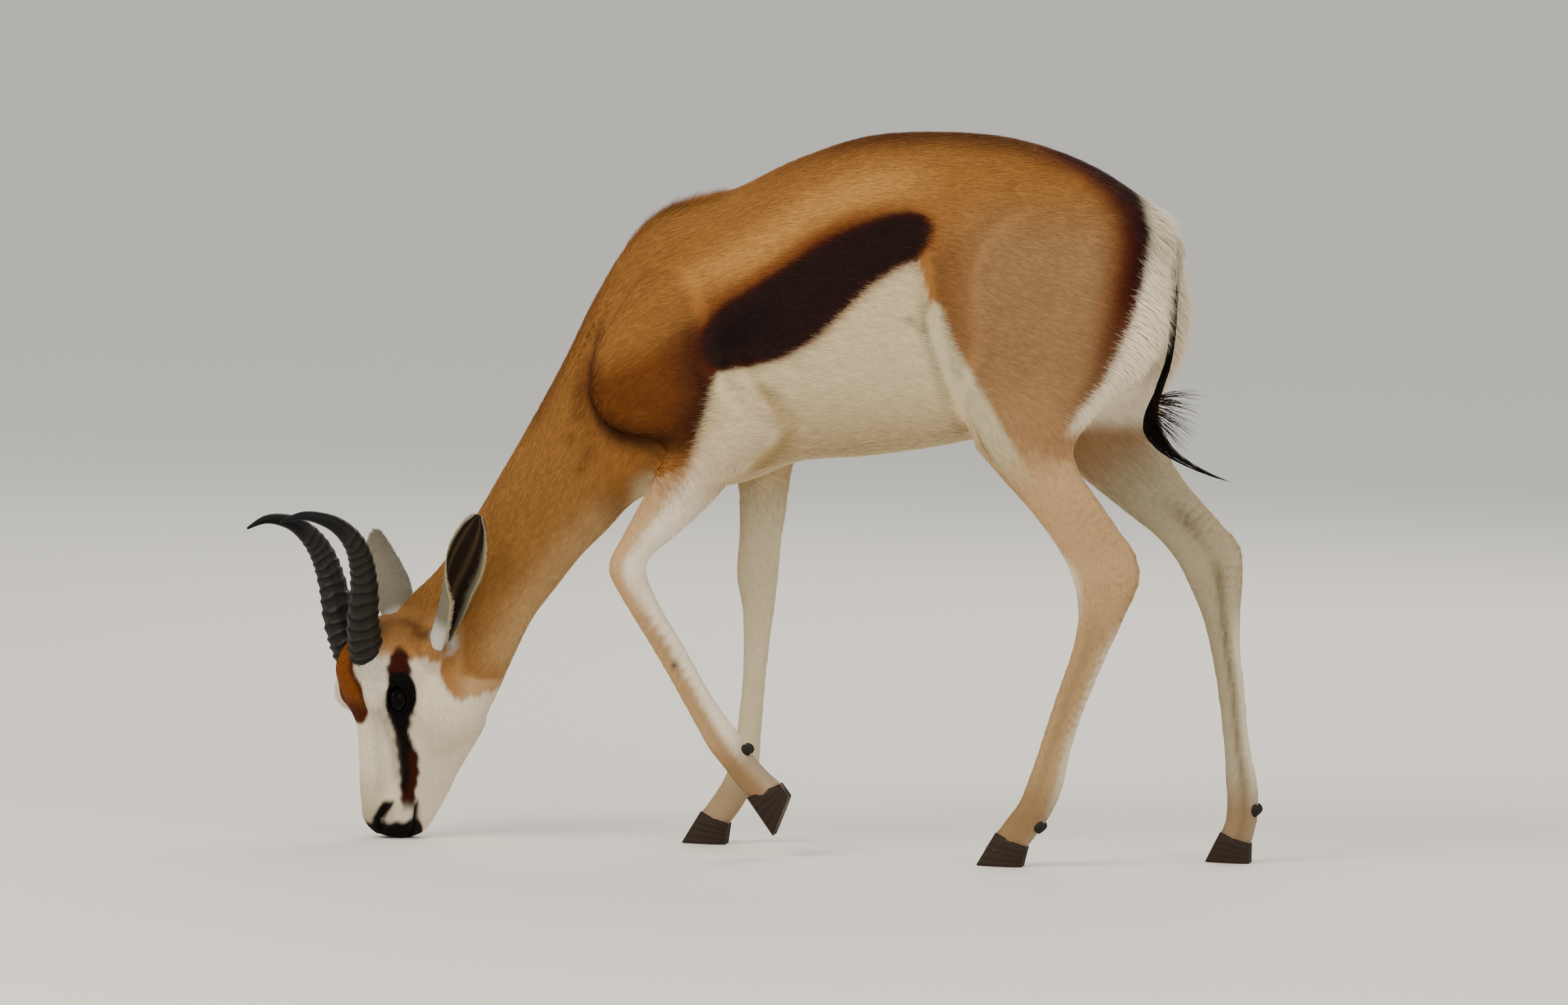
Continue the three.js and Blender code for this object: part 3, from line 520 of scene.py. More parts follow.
def eye_axes(sign):
    """The eye's middle, and its long, short and outward directions."""
    outward = sign * LEFT + 0.3 * FACE
    outward /= np.linalg.norm(outward)
    long_way = np.array([0, 0, 1.0])
    slant = sign * math.radians(12)
    side_way = np.cross(outward, long_way)
    long_way = long_way * math.cos(slant) + side_way * math.sin(slant)
    return head_place([0, sign * EYE_OUT, EYE_UP]), long_way, np.cross(long_way, outward), outward


def line_distance(points, line):
    """Distance from each point to a run of straight pieces, and how far along it the nearest place is."""
    line = np.asarray(line, float)
    best, where = np.full(len(points), 1e9), np.zeros(len(points))
    for k, (a, b) in enumerate(zip(line, line[1:])):
        share = np.clip((points - a) @ (b - a) / ((b - a) @ (b - a)), 0, 1)
        gap = np.linalg.norm(points - a - share[:, None] * (b - a), axis=1)
        where = np.where(gap < best, k + share, where)
        best = np.minimum(best, gap)
    return best, where


LEG_NAMES = ["fore_left", "fore_right", "hind_left", "hind_right"]
LEG_ROWS = dict(zip(LEG_NAMES, [LEFT_FORE, RIGHT_FORE, LEFT_HIND, RIGHT_HIND]))


def along_limb(points, rows):
    """For each point: the nearest place u along a limb's rows, the distance from its middle line over its
    size there, the share c from back (-1) to front (1), and the side s, outward of the animal above 0."""
    u = np.linspace(0, len(rows) - 1, (len(rows) - 1) * 4 + 1)
    path = catmull(rows, u)
    front, back = path[:, [0, 1]], path[:, [2, 3]]
    middle = np.stack([(front[:, 0] + back[:, 0]) / 2, path[:, 4], (front[:, 1] + back[:, 1]) / 2], -1)
    depth = np.linalg.norm(front - back, axis=1) / 2
    size = np.maximum(depth, path[:, 5])
    nearest = np.empty(len(points), int)
    for start in range(0, len(points), 20000):
        some = points[start : start + 20000]
        gap = np.linalg.norm(some[:, None] - middle[None], axis=2) / size
        nearest[start : start + 20000] = gap.argmin(1)
    rel = points - middle[nearest]
    ahead = (front - back)[nearest] / (2 * depth[nearest, None])
    c = (rel[:, 0] * ahead[:, 0] + rel[:, 2] * ahead[:, 1]) / depth[nearest]
    s = rel[:, 1] / path[nearest, 5] * np.sign(path[0, 4] or 1)
    along = np.gradient(middle, axis=0)
    along /= np.linalg.norm(along, axis=1, keepdims=True)
    return u[nearest], np.linalg.norm(rel, axis=1) / size[nearest], c, s, along[nearest]


def leg_share(points, name):
    """1 on a leg below the body, 0 on the trunk, with the place on the leg."""
    u, gap, c, s, along = along_limb(points, LEG_ROWS[name])
    own_side = points[:, 1] * (-1 if "left" in name else 1) > 0
    share = ease(u, 4.5, 7.5) * ease(-gap, -2.2, -1.5) * own_side
    share *= 1 - in_head(head_numbers(points))
    reaches = points[:, 0] > (60 if "hind" in name else -240)
    reaches &= points[:, 0] < (520 if "hind" in name else 60)
    return share * reaches, u, c, s, along


# Relief of the body, the same on both sides: the shoulder's edge over the neck, the flank fold, the
# hollow behind the elbow, the groove along the thigh, the haunch bone, and the tendons of the hocks.
relax(skin_mesh, 8)
skin_points = mesh_points(skin_mesh)
skin_normals = mesh_normals(skin_mesh)
outer = np.abs(skin_points[:, 1]) > 38
lift = np.zeros(len(skin_points))
for line, width, height in [
    ([(-222, 560), (-222, 524), (-224, 487), (-212, 450)], 9, -3.5),
    ([(-205, 548), (-205, 509), (-200, 481), (-190, 464), (-160, 456)], 8, 2.0),
    ([(142, 650), (148, 622), (156, 572), (166, 535), (195, 457)], 8, -4.0),
    ([(168, 640), (174, 590), (190, 540), (218, 470)], 17, 0.8),
    ([(-56, 528), (-42, 506), (-24, 488), (-6, 468)], 9, -3.0),
    ([(-150, 600), (-136, 560), (-120, 520)], 24, 1.0),
    ([(-118, 612), (-100, 570), (-84, 536)], 18, -1.0),
    ([(300, 640), (292, 590), (276, 540), (262, 490)], 22, -1.2),
    ([(228, 716), (206, 690)], 16, 1.6),
]:
    gap, _ = line_distance(skin_points[:, [0, 2]], line)
    lift += height * bell(gap, width) * outer
lift *= ease(skin_points[:, 2], 380, 430)
for name in LEG_NAMES:
    share, u, c, _, _ = leg_share(skin_points, name)
    if "hind" in name:
        hollow = 3.2 * bell(c + 0.3, 0.26) * bell(u - 9.6, 1.1)
        bone = 1.2 * bell(c + 0.85, 0.3) * bell(u - 10.6, 0.5)
    else:
        hollow = 1.6 * bell(c + 0.35, 0.25) * bell(u - 9.2, 0.8)
        bone = 1.2 * bell(c - 0.7, 0.4) * bell(u - 9.6, 0.7)
    tendon = 1.4 * bell(c + 0.25, 0.22) * ease(u, 12, 13) * ease(-u, -17, -15.5)
    lift += share * (bone - hollow - tendon)
skin_points = skin_points + lift[:, None] * skin_normals
set_points(skin_mesh, skin_points)
skin_normals = mesh_normals(skin_mesh)
tld = head_numbers(skin_points)
head_share = in_head(tld)
low_leg = ease(-skin_points[:, 2], -330, -250) * (1 - head_share)
coat_depth = 2.0 - 1.2 * np.maximum(head_share, low_leg)
set_points(skin_mesh, skin_points - coat_depth[:, None] * skin_normals)
refine(skin_mesh, in_head(head_numbers(face_middles(skin_mesh))) > 0.3)
relax(skin_mesh, 3, in_head(head_numbers(mesh_points(skin_mesh))))
middles = head_numbers(face_middles(skin_mesh))
near_eye = np.linalg.norm((middles - [0, 0, EYE_UP]) * [1, 0, 1], axis=1) < 27
near_eye &= abs(middles[:, 1]) > 30
muzzle = (middles[:, 0] > 104) & (in_head(middles) > 0.5)
refine(skin_mesh, near_eye | muzzle)
relax(skin_mesh, 3, in_head(head_numbers(mesh_points(skin_mesh))))

# Relief of the head: brow, cheekbone and jaw, the hollow of the tear duct, the lids round the eyes,
# the comma-shaped nostrils and the slit of the mouth.

points = mesh_points(skin_mesh)
normals = mesh_normals(skin_mesh)
tld = head_numbers(points)
t, l, d = tld.T
side = abs(l)
part = in_head(tld)
flat_head = np.stack([t, side, d], -1)
lift = np.zeros(len(points))
for line, width, height in [
    ([(-26, 46, 20), (-14, 50, 26), (4, 46, 26)], 9, 1.6),  # brow
    ([(24, 44, -8), (10, 50, -26), (-10, 52, -40), (-34, 48, -48)], 11, 1.0),  # cheekbone
    ([(22, 40, 2), (44, 34, 0), (60, 31, -4)], 8, -1.8),  # tear duct
    ([(-20, 44, -100), (20, 40, -118), (34, 30, -124)], 16, 0.8),  # angle of the jaw
    ([(40, 0, 26), (80, 0, 24), (112, 0, 22)], 9, 0.8),  # bridge of the nose
    ([(70, 32, -46), (104, 27, -46)], 13, -0.8),  # between cheek and jaw
    ([(34, 30, 18), (70, 26, 10), (100, 25, 4)], 10, -0.8),
]:
    gap, _ = line_distance(flat_head, line)
    lift += height * bell(gap, width)


def mouth_line(t):
    """The d of the slit of the mouth at t."""
    return np.interp(t, [106, 120, 154], [-36, -33, -32])


# The comma of a nostril, from the outer end inwards: t, l, d and half width.
NOSTRIL = [
    [112, 25.5, -2, 1.4], [121, 23.5, 3, 2.9], [131, 20, 6.5, 3.9], [140, 14, 5, 3.6], [147, 9, 0, 2],
]
gap, where = line_distance(flat_head, [row[:3] for row in NOSTRIL])
wide = np.interp(where, range(5), [row[3] for row in NOSTRIL])
lift += 1.3 * bell(gap - 2.4 * wide, 1.2 * wide) * ease(t, 104, 116)
lift -= 8.0 * bell(gap, wide) * ease(wide, 0.9, 1.8)
mouth_gap = abs(d - mouth_line(t))
mouth_share = ease(t, 104, 114)
lift += mouth_share * (0.9 * bell(mouth_gap - 4.5, 3) - 3.4 * bell(mouth_gap, 1.5))
points += (lift * part)[:, None] * normals

for sign in (1, -1):
    middle, long_way, short_way, outward = eye_axes(sign)
    rel = points - middle
    p, q, h = rel @ long_way, rel @ short_way, rel @ outward
    p0 = p / LIDS_LONG
    almond = LIDS_HIGH * np.sqrt(np.clip(1 - p0 * p0, 0, 1)) ** 1.2
    inside = almond - abs(q) - 4 * np.clip(abs(p0) - 1, 0, 1)
    ball = np.sqrt(np.clip(EYE_RADIUS**2 - p * p - q * q, 0, None))
    away = np.sqrt(p * p + q * q)
    lid = np.maximum(ball + 1.7, h - 2.2)
    near_lid = ease(inside, -7.0, -2.0)
    crease = 1.0 * bell(inside + 5.5, 1.1)
    level = h + near_lid * (lid - h) - crease
    level = level + ease(inside, -0.7, 0.9) * (ball - 4.0 - level)
    close = (h > 4) & (away < 30)
    points = points + (np.where(close, level - h, 0))[:, None] * outward
set_points(skin_mesh, points)

skin = bpy.data.objects.new("skin", skin_mesh)
bpy.context.scene.collection.objects.link(skin)
skin_mesh.polygons.foreach_set("use_smooth", np.full(len(skin_mesh.polygons), True))

# Markings, the same on hide and hair: cinnamon back, a dark chocolate band along the flank, white
# belly and rump with a dark edge, and a white face with a dark stripe through the eye. Painted shade is
# laid in with them: in the fold at the shoulder, the creases and the flank fold, behind the elbow, on
# the belly, haunch and inner legs, and in the hollows of the face.


def inside_outline(flat, outline):
    """Signed distance in the side plane to a closed outline: above 0 inside."""
    outline = np.asarray(outline, float)
    gap, _ = line_distance(flat, np.concatenate([outline, outline[:1]]))
    x, z = flat.T
    crossed = np.zeros(len(flat), bool)
    for (x0, z0), (x1, z1) in zip(outline, np.roll(outline, -1, axis=0)):
        spans = (z0 > z) != (z1 > z)
        crossed ^= spans & (x < x0 + (z - z0) * (x1 - x0) / (z1 - z0 + 1e-9))
    return np.where(crossed, gap, -gap)


# Outlines and edges in the side plane, as x and z in the drawing's millimetres.
BAND = [(-92, 540), (-90, 562), (-70, 590), (-36, 612), (-1, 636), (34, 662), (69, 680), (104, 692)]
BAND += [(130, 696), (147, 692), (156, 680), (152, 663), (141, 648), (120, 637), (92, 618), (71, 596)]
BAND += [(36, 560), (2, 539), (-34, 528), (-69, 521), (-80, 524)]
BELLY = [(-70, 523), (-34, 529), (1, 539), (36, 560), (70, 596), (91, 618), (119, 636), (140, 647)]
BELLY += [(149, 620), (159, 578), (192, 509), (215, 446), (262, 391), (262, 330), (-120, 330)]
BELLY += [(-100, 420), (-84, 470)]
SHOULDER = [(-97, 556), (-69, 522), (-63, 486), (-76, 455), (-104, 437), (-140, 447), (-176, 453)]
SHOULDER += [(-197, 464), (-208, 481), (-212, 509), (-186, 512), (-150, 530)]
# The line of the painted shadow in the fold along the shoulder's edge.
SHOULDER_FOLD_SHADOW = [(-207, 562), (-212, 524), (-214, 487), (-202, 458), (-178, 445), (-148, 441)]
ELBOW = [(-66, 518), (-58, 522), (-46, 520), (-29, 503), (-16, 484), (-6, 465), (-4, 455), (-14, 442)]
ELBOW += [(-30, 428), (-44, 411), (-60, 400), (-107, 394), (-99, 416), (-91, 433), (-83, 450)]
ELBOW += [(-69, 462), (-57, 475), (-62, 495)]
CANNON_SPOT = (-113, 202)
RUMP_EDGE = [(250, 780), (280, 767), (317, 752), (349, 733), (374, 707), (384, 680), (385, 653)]
RUMP_EDGE += [(381, 623), (372, 586), (359, 556), (343, 522), (321, 494), (300, 462)]
THIGH_LINE = [(155, 590), (170, 552), (203, 500), (229, 458), (260, 408), (290, 372)]
CREST = [(-190, 655), (-160, 686), (-128, 692)]
EAR_ROOT = [(-76, 66, -38), (-60, 68, -46)]  # t, side and d of the white tuft


def near(points, line, width):
    """The bell curve of the distance to a run of straight pieces: 1 on the line."""
    return bell(line_distance(points, line)[0], width)


def behind_rump_edge(x, z):
    """How far a point in the side plane lies behind the edge of the white rump."""
    edge_x, edge_z = np.array(RUMP_EDGE[::-1], float).T
    return x - np.interp(z, edge_z, edge_x)


def low_neck(x, z):
    """0 on the shoulder and 1 on the neck."""
    return ease(-x - 0.55 * (z - 450), 190, 260)


def paint(colour, shade, share):
    """Lays a hex shade over the colours, as strongly as share says."""
    return colour + np.clip(share, 0, 1)[:, None] * (linear(shade, False) - colour)


def layered(count, base, *layers):
    """One linear colour for each of count points: the base shade, with hex shades laid over it in turn,
    each as strongly as its share says."""
    colour = np.tile(linear(base, False), (count, 1))
    for shade, share in layers:
        colour = paint(colour, shade, share)
    return colour


def body_colour(points, normals):
    """Trunk and neck. The shares are of soft-edged areas in the side plane, the same on both sides."""
    x, y, z = points.T
    flat, side = points[:, [0, 2]], abs(y)
    neck = low_neck(x, z)
    top_line = [(-100, 702), (-74, 711), (-4, 746), (73, 773), (158, 780), (236, 774), (290, 757)]
    throat = [(-150, 350), (-198, 341), (-228, 310), (-256, 275), (-281, 241), (-299, 204)]
    nape = near(flat, [(-186, 648), (-222, 586), (-248, 530), (-281, 466)], 20)
    neck_dots = [
        bell(np.linalg.norm((flat - [a, b]) * [1, 0.8], axis=1), radius)
        for a, b, radius in [(-227, 492, 9), (-229, 466, 7), (-214, 424, 8), (-224, 408, 6), (-236, 440, 5)]
    ]
    shoulder = inside_outline(flat, SHOULDER)
    shoulder_shadow_gap, along = line_distance(flat, SHOULDER_FOLD_SHADOW)
    shoulder_shadow_fade = np.interp(along, range(6), [0.3, 0.75, 0.9, 0.9, 0.8, 0.3])
    under = ease(-normals[:, 2], 0.45, 0.8) * ease(-z, -440, -400) * ease(x, -190, -150)
    white = np.maximum(ease(inside_outline(flat, BELLY), -2.5, 3.5), under)
    crease_shadow_lines = ([(-34, 506), (-22, 497), (-10, 487)], [(-26, 511), (-14, 503), (-4, 494)])
    groove, along = line_distance(flat, [(149, 600), (150, 572), (161, 542), (166, 517), (195, 457)])
    groove_shadow_end = ease(-along, -4, -2.5)
    band = inside_outline(flat, BAND)
    upper = ease(z - 0.62 * (x + 90), 560, 600)  # the band's upper edge is the softer one
    elbow = inside_outline(flat, ELBOW)
    thigh_line = line_distance(flat, THIGH_LINE)[0]
    behind = behind_rump_edge(x, z)
    gap, along = line_distance(flat, RUMP_EDGE)
    before = np.where(behind < 0, gap, 0)
    width = np.interp(along, range(13), [11, 16, 21, 28, 35, 39, 40, 39, 35, 28, 20, 13, 8])
    fade = np.interp(z, [470, 560, 620], [0.0, 0.65, 1])
    on_rump = ease(z, 455, 480) * ease(x, 245, 262)
    rear_inside = ease(normals[:, 0], 0.3, 0.7) * ease(x, 240, 300) * ease(-side, -75, -50)
    return layered(
        len(points),
        "#8f5f2d",
        ("#b07f44", bell(band + 32, 20) * ease(z, 590, 640) * ease(-x, -180, -90)),
        # Painted shade: the haunch below the back line, greyer and darker.
        ("#8d6d49", ease(x, 140, 240) * ease(-z, -740, -640)),
        ("#6b4220", near(flat, [(176, 650), (171, 600), (182, 566)], 24) * 0.5),
        # The lower thigh's own pinkish tan, toned down as painted shade.
        ("#a07a54", ease(x, 170, 260) * ease(-z, -560, -440)),
        ("#56300f", near(flat, top_line, 17) * ease(x, -60, 90) * ease(-side, -78, -30)),
        ("#875c2c", neck),
        ("#b08e60", near(flat, throat, 27) * neck),
        ("#5c3311", nape * 0.7 * ease(-side, -58, -12) * ease(-x, 165, 235)),
        *[("#5c3415", dot * 0.6 * (side > 20)) for dot in neck_dots],
        ("#54310f", near(flat, CREST, 8) * 0.6 * ease(-side, -42, -8)),
        ("#613210", ease(shoulder, -30, 14) * 0.9),
        ("#34160a", near(flat, [(-88, 548), (-82, 516), (-78, 486), (-92, 462)], 30) * 0.92),
        ("#3a1c0c", near(flat, [(-186, 452), (-160, 446), (-130, 444)], 13) * 0.8),
        # Painted shadow: a soft dark line in the fold along the shoulder's edge.
        ("#2f170a", bell(shoulder_shadow_gap, 8) * shoulder_shadow_fade),
        # The belly's own cream white, toned down part way as painted shade; lower down it is darker and
        # warmer still, as painted shade on the underside.
        ("#cbba94", white),
        ("#b3936a", ease(-z, -530, -400) * white * ease(side, 20, 50) * 0.7),
        # Painted shade in the skin creases behind the elbow, in the groove where the belly meets the thigh,
        # and in two spots of the flank fold.
        *[("#877452", near(flat, crease, 1.8) * 0.6 * (side > 40)) for crease in crease_shadow_lines],
        ("#7d7458", bell(groove, 2.6) * groove_shadow_end * 0.75 * (side > 40)),
        *[
            ("#6f684f", bell(np.linalg.norm(flat - spot, axis=1), 4.5) * 0.8 * (side > 40))
            for spot in [(136, 580), (150, 572)]
        ],
        ("#63290c", ease(band, -17, -3) * (0.25 + 0.75 * upper) * 0.9),
        ("#3f1408", ease(band, -5 + 0.5 * upper, 1.5 + 3 * upper)),
        ("#21110e", ease(band, -1 + 2 * upper, 6 + 11 * upper)),
        ("#150c0b", ease(band, 12, 28) * ease(-x, -20, 60)),
        # Painted shadow: a darker rim on the belly just behind the elbow.
        ("#97804f", bell(elbow + 7, 9) * (x > -50) * (side > 40) * 0.7 * ease(-z, -514, -500)),
        ("#cdb898", ease(elbow, -3, 4) * (side > 40)),
        ("#bcb08f", ease(-thigh_line, -17, -10) * ease(x, 150, 165) * (normals[:, 0] < 0.5)),
        ("#6d3c18", ease(-before, -1.45 * width, -0.6 * width) * fade * on_rump * 0.85),
        ("#43170a", ease(-before, -0.95 * width, -0.4 * width) * fade * on_rump),
        ("#1f0a08", ease(-before, -0.6 * width, -0.1 * width) * ease(z, 580, 640) * on_rump * 0.8),
        ("#eadcc2", ease(behind, -1.5, 3.5) * on_rump * ease(-z, -778, -760)),
        ("#ddd0b4", rear_inside * ease(-z, -620, -560)),
    )


def leg_colour(flat, name, u, c, s):
    """A leg, at u down it, c from back to front and s outward: tan outside and in front, pale inside,
    darker along the tendons and towards the hoof."""
    last = len(LEG_ROWS[name]) - 1
    if "fore" in name:
        layers = [
            ("#a98a62", ease(u, 9, 14)),
            ("#e0d4bf", ease(-c, -0.35, 0.05) * ease(s, -0.4, 0.1) * ease(-u, -13, -9)),
            ("#d9ccb6", ease(-c, -0.1, 0.45) * ease(u, 9, 12)),
            # The pale inside of the foreleg, toned down greyer as painted shade.
            ("#c2b597", ease(-s, -0.05, 0.3)),
            ("#7d6648", bell(c - 0.25, 0.22) * ease(s, 0, 0.4) * ease(u, 10, 13) * 0.5),
        ]
    else:
        layers = [
            ("#a98962", ease(u, 7, 11)),
            ("#a0835c", ease(u, 11, 14)),
            ("#d8ccb6", ease(c, 0.62, 0.9) * ease(-u, -13, -9)),
            # The inside of the hind leg, greyer and darker as painted shade.
            ("#a3967a", ease(-s, -0.05, 0.35)),
            ("#6b5f47", bell(c + 0.15, 0.2) * ease(-s, 0.2, 0.6) * ease(u, 7.5, 9) * 0.8),
            ("#d4c6ac", bell(c + 0.85, 0.25) * ease(u, 11, 13)),
            ("#7b6546", bell(c - 0.2, 0.25) * ease(s, 0, 0.4) * ease(u, 11, 13) * 0.5),
        ]
    layers.append(("#7d6142", ease(u, last - 4.5, last - 2.5) * 0.75))
    layers.append(("#9a8464", ease(u, last - 1.0, last - 0.4) * 0.7))
    if name == "fore_left":
        spot = bell(np.linalg.norm(flat - CANNON_SPOT, axis=1), 3.6)
        layers.append(("#2c2219", spot * ease(s, 0, 0.3)))
    return layered(len(u), "#b6936a", *layers)


def face_colour(tld):
    """The head: white, with tan behind and below the ears, a russet patch on the forehead, a stripe of
    red-brown and black through the eye, and a black muzzle."""
    t, l, d = tld.T
    side = abs(l)
    flat, full = np.stack([t, d], -1), np.stack([t, side, d], -1)
    tan_edge = np.interp(-d, [-60, -19, 24, 38, 43, 55, 82, 149], [-44, -43, -42, -40, -22, 2, -6, -20])
    tan_edge = tan_edge + 1.8 * np.sin(0.37 * d) + 1.2 * np.sin(0.9 * d + 1)
    tan = ease(tan_edge - t, -5, 6)
    ear_tuft = ease(-line_distance(full, EAR_ROOT)[0], -17, -9)
    dark_spot = near(flat, [(-84, -16), (-76, -26), (-68, -24)], 6)
    horn_root = near(full, [(-36, 8, 42), (-32, 24, 38), (-36, 38, 20), (-24, 40, 26)], 13)
    patch_half = np.interp(t, [-60, -32, -12, 5, 16, 26, 34], [18, 20, 27, 27, 21, 12, 0])
    patch = ease(patch_half - side, -1.5, 2.5) * ease(d, 8, 20) * ease(-t, -32, -27)
    patch_edge = np.maximum(ease(t, -4, 18), ease(side - patch_half, -11, -2))
    face_t, jaw_t = [-60, -46, -30, -3, 22, 32, 70, 96, 118], [-60, -46, -29, -6, 22, 43, 60, 83, 106, 119]
    face_line = np.interp(t, face_t, [-2, 8, 15, 15, 6, -1, -9, -13, -17])
    jaw_line = np.interp(t, jaw_t, [-2, -9, -11, -16, -15, -18, -28, -32, -29, -32])
    stripe = np.minimum(face_line - d, d - jaw_line) + 0.8 * np.sin(0.45 * t + 0.3 * d)
    ends = ease(t, -62, -46) * ease(-t, -128, -108) * ease(side, 12, 22)
    red = np.maximum(ease(-t, 22, 34), ease(t, 50, 64) * ease(jaw_line + 10 - d, -5, 5))
    black = 1 - np.maximum(red, ease(t, 96, 112))
    eye_gap = np.linalg.norm(np.stack([t + 3, d - 0.5], -1) / [25.0, 19.0], axis=1)
    nostril_line = [(row[0], 0.3 * row[1], row[2]) for row in NOSTRIL]
    nostril = line_distance(full * [1, 0.3, 1], nostril_line)[0]
    pad = np.interp(-d, [-12, 0, 12, 24, 36, 51], [137, 136, 136, 135, 131, 150])
    mouth = bell(d - mouth_line(t), np.interp(t, [110, 150], [2.5, 7.0]))
    return layered(
        len(tld),
        "#d2c5ae",
        # Painted shade: a faint grey line in the hollow in front of the eye, beside the stripe.
        ("#b9b0a0", near(flat, [(-10, 28), (40, 12), (100, 6)], 5) * ease(side, 10, 18) * 0.8),
        ("#a8997e", ease(t, 70, 115) * ease(d, -4, 12) * 0.75),
        ("#94683a", tan),
        ("#ae8b63", tan * ease(-d, 50, 75)),
        ("#c4c3bd", ear_tuft),
        ("#452509", dark_spot * ease(side, 14, 34) * 0.7),
        ("#b3aa9a", horn_root),
        ("#6f3b10", patch * ease(t, -64, -56)),
        ("#3a1207", patch * patch_edge * 0.9),
        ("#230e08", ease(stripe, -3.5, 2.5) * ends),
        ("#321006", ease(stripe, -4, 2) * ends * np.maximum(red, 0.8 * ease(t, 90, 108))),
        ("#0b0807", ease(stripe, -0.5, 4) * ends * black),
        ("#080706", ease(-eye_gap, -1.12, -0.95) * ease(side, 22, 32)),
        # Painted shade in the hollow of the tear duct: a grey line down the face edge of the stripe.
        ("#8d8672", near(flat, [(24, 10), (50, -2), (86, -8)], 4) * ends * 0.6),
        # Painted shade: grey round the nostril.
        ("#8f8676", bell(nostril, 13) * ease(t, 108, 126) * 0.7),
        ("#0e0b0a", ease(t - pad + 1.2 * np.sin(0.4 * d), -5, 3)),
        ("#15110f", mouth * ease(t, 108, 118)),
        ("#100d0c", ease(-nostril, -7.6, -3.6) * ease(t, 107, 116) * ease(side, 3, 7)),
    )


def markings(points, normals):
    """The colour of hide or hair at each point: the body's, with the legs' and the head's blended in."""
    colour = body_colour(points, normals)
    for name in LEG_NAMES:
        share, u, c, s, _ = leg_share(points, name)
        start = ease(u, 5.4, 6.4) if "fore" in name else ease(u, 4.6, 6.8)
        leg = leg_colour(points[:, [0, 2]], name, u, c, s)
        colour = colour + (share * start)[:, None] * (leg - colour)
    tld = head_numbers(points)
    return colour + in_head(tld)[:, None] * (face_colour(tld) - colour)


def colour_points(mesh, colours):
    """Puts one linear colour on each point, as the attribute that the materials read."""
    layer = mesh.color_attributes.new("coat_colour", "FLOAT_COLOR", "POINT")
    full = np.ones((len(mesh.vertices), 4), np.float32)
    full[:, :3] = colours
    layer.data.foreach_set("color", full.ravel())


points, normals = mesh_points(skin_mesh), mesh_normals(skin_mesh)
# The hide is painted a little darker than the hair on it, as painted shade under the coat.
colour_points(skin_mesh, markings(points, normals) * 0.96)

# Tanned hide under short hair: matt and uneven, with the nap of the hair as fine relief about 0.6 mm
# across, drawn at 1.2 mm so that it shows.


def painted_material(name, roughness, specular=0.5):
    """A material whose colour is the piece's own colour attribute."""
    material, tree, surface = new_material(name, roughness, specular)
    painted = add_node(tree, "ShaderNodeAttribute", attribute_name="coat_colour")
    tree.links.new(painted.outputs["Color"], surface.inputs["Base Color"])
    return material, tree, surface, painted


def noise(tree, scale, detail):
    """Noise on the object's own coordinates, with scale grains to the metre."""
    place = add_node(tree, "ShaderNodeTexCoord")
    settings = {"Scale": scale, "Detail": detail}
    return add_node(tree, "ShaderNodeTexNoise", settings, {"Vector": place.outputs["Object"]})


def fine_relief(tree, surface, scale, detail, strength, depth):
    """Bump of fine noise, depth in metres. Gives the noise back."""
    grain = noise(tree, scale, detail)
    settings = {"Strength": strength, "Distance": depth}
    bump = add_node(tree, "ShaderNodeBump", settings, {"Height": grain.outputs["Fac"]})
    tree.links.new(bump.outputs["Normal"], surface.inputs["Normal"])
    return grain


hide_material, tree, surface, painted = painted_material("tanned_hide_with_short_hair", 0.78, 0.06)
mottle = noise(tree, 90.0, 3.0)
shades = {"To Min": 0.92, "To Max": 1.06}
uneven = add_node(tree, "ShaderNodeMapRange", shades, {"Value": mottle.outputs["Fac"]})
tint = add_node(tree, "ShaderNodeMix", {"Factor": 1.0}, data_type="RGBA", blend_type="MULTIPLY")
tree.links.new(painted.outputs["Color"], tint.inputs["A"])
tree.links.new(uneven.outputs["Result"], tint.inputs["B"])
tree.links.new(tint.outputs["Result"], surface.inputs["Base Color"])
fine_relief(tree, surface, 800.0, 2.0, 0.35, 0.0006)
skin_mesh.materials.append(hide_material)
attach(skin, "root")
flesh = ["torso_rear", "torso_middle", "torso_front", "neck", "head"]
flesh += [f"{leg}_{part}" for leg in LEG_NAMES for part in ("upper", "cannon", "pastern")]
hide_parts(*flesh)

# Eyes: dark glass eyes as a taxidermist sets them, each a ball with a slightly bulged cornea, seated
# in the socket behind the lids, with a row of stiff black lashes along the upper lid.


def fill_mesh(name, points, triangles, smooth=True):
    """A mesh object from arrays of millimetre points and of triangles, set as whole arrays."""
    mesh = bpy.data.meshes.new(name)
    mesh.vertices.add(len(points))
    mesh.vertices.foreach_set("co", ((points + SHIFT) * MM).ravel())
    mesh.loops.add(triangles.size)
    mesh.loops.foreach_set("vertex_index", triangles.ravel().astype(np.int32))
    mesh.polygons.add(len(triangles))
    mesh.polygons.foreach_set("loop_start", np.arange(0, triangles.size, 3, dtype=np.int32))
    mesh.polygons.foreach_set("use_smooth", np.full(len(triangles), smooth))
    mesh.update(calc_edges=True)
    made = bpy.data.objects.new(name, mesh)
    bpy.context.scene.collection.objects.link(made)
    return made


def outward_shell(grid):
    """A closed shell whose triangles face outwards: turned round where its signed volume is below 0."""
    points, triangles = shell(grid)
    a, b, c = (points[triangles[:, k]] for k in range(3))
    volume = (a * np.cross(b, c)).sum()
    return points, (triangles if volume > 0 else triangles[:, ::-1])


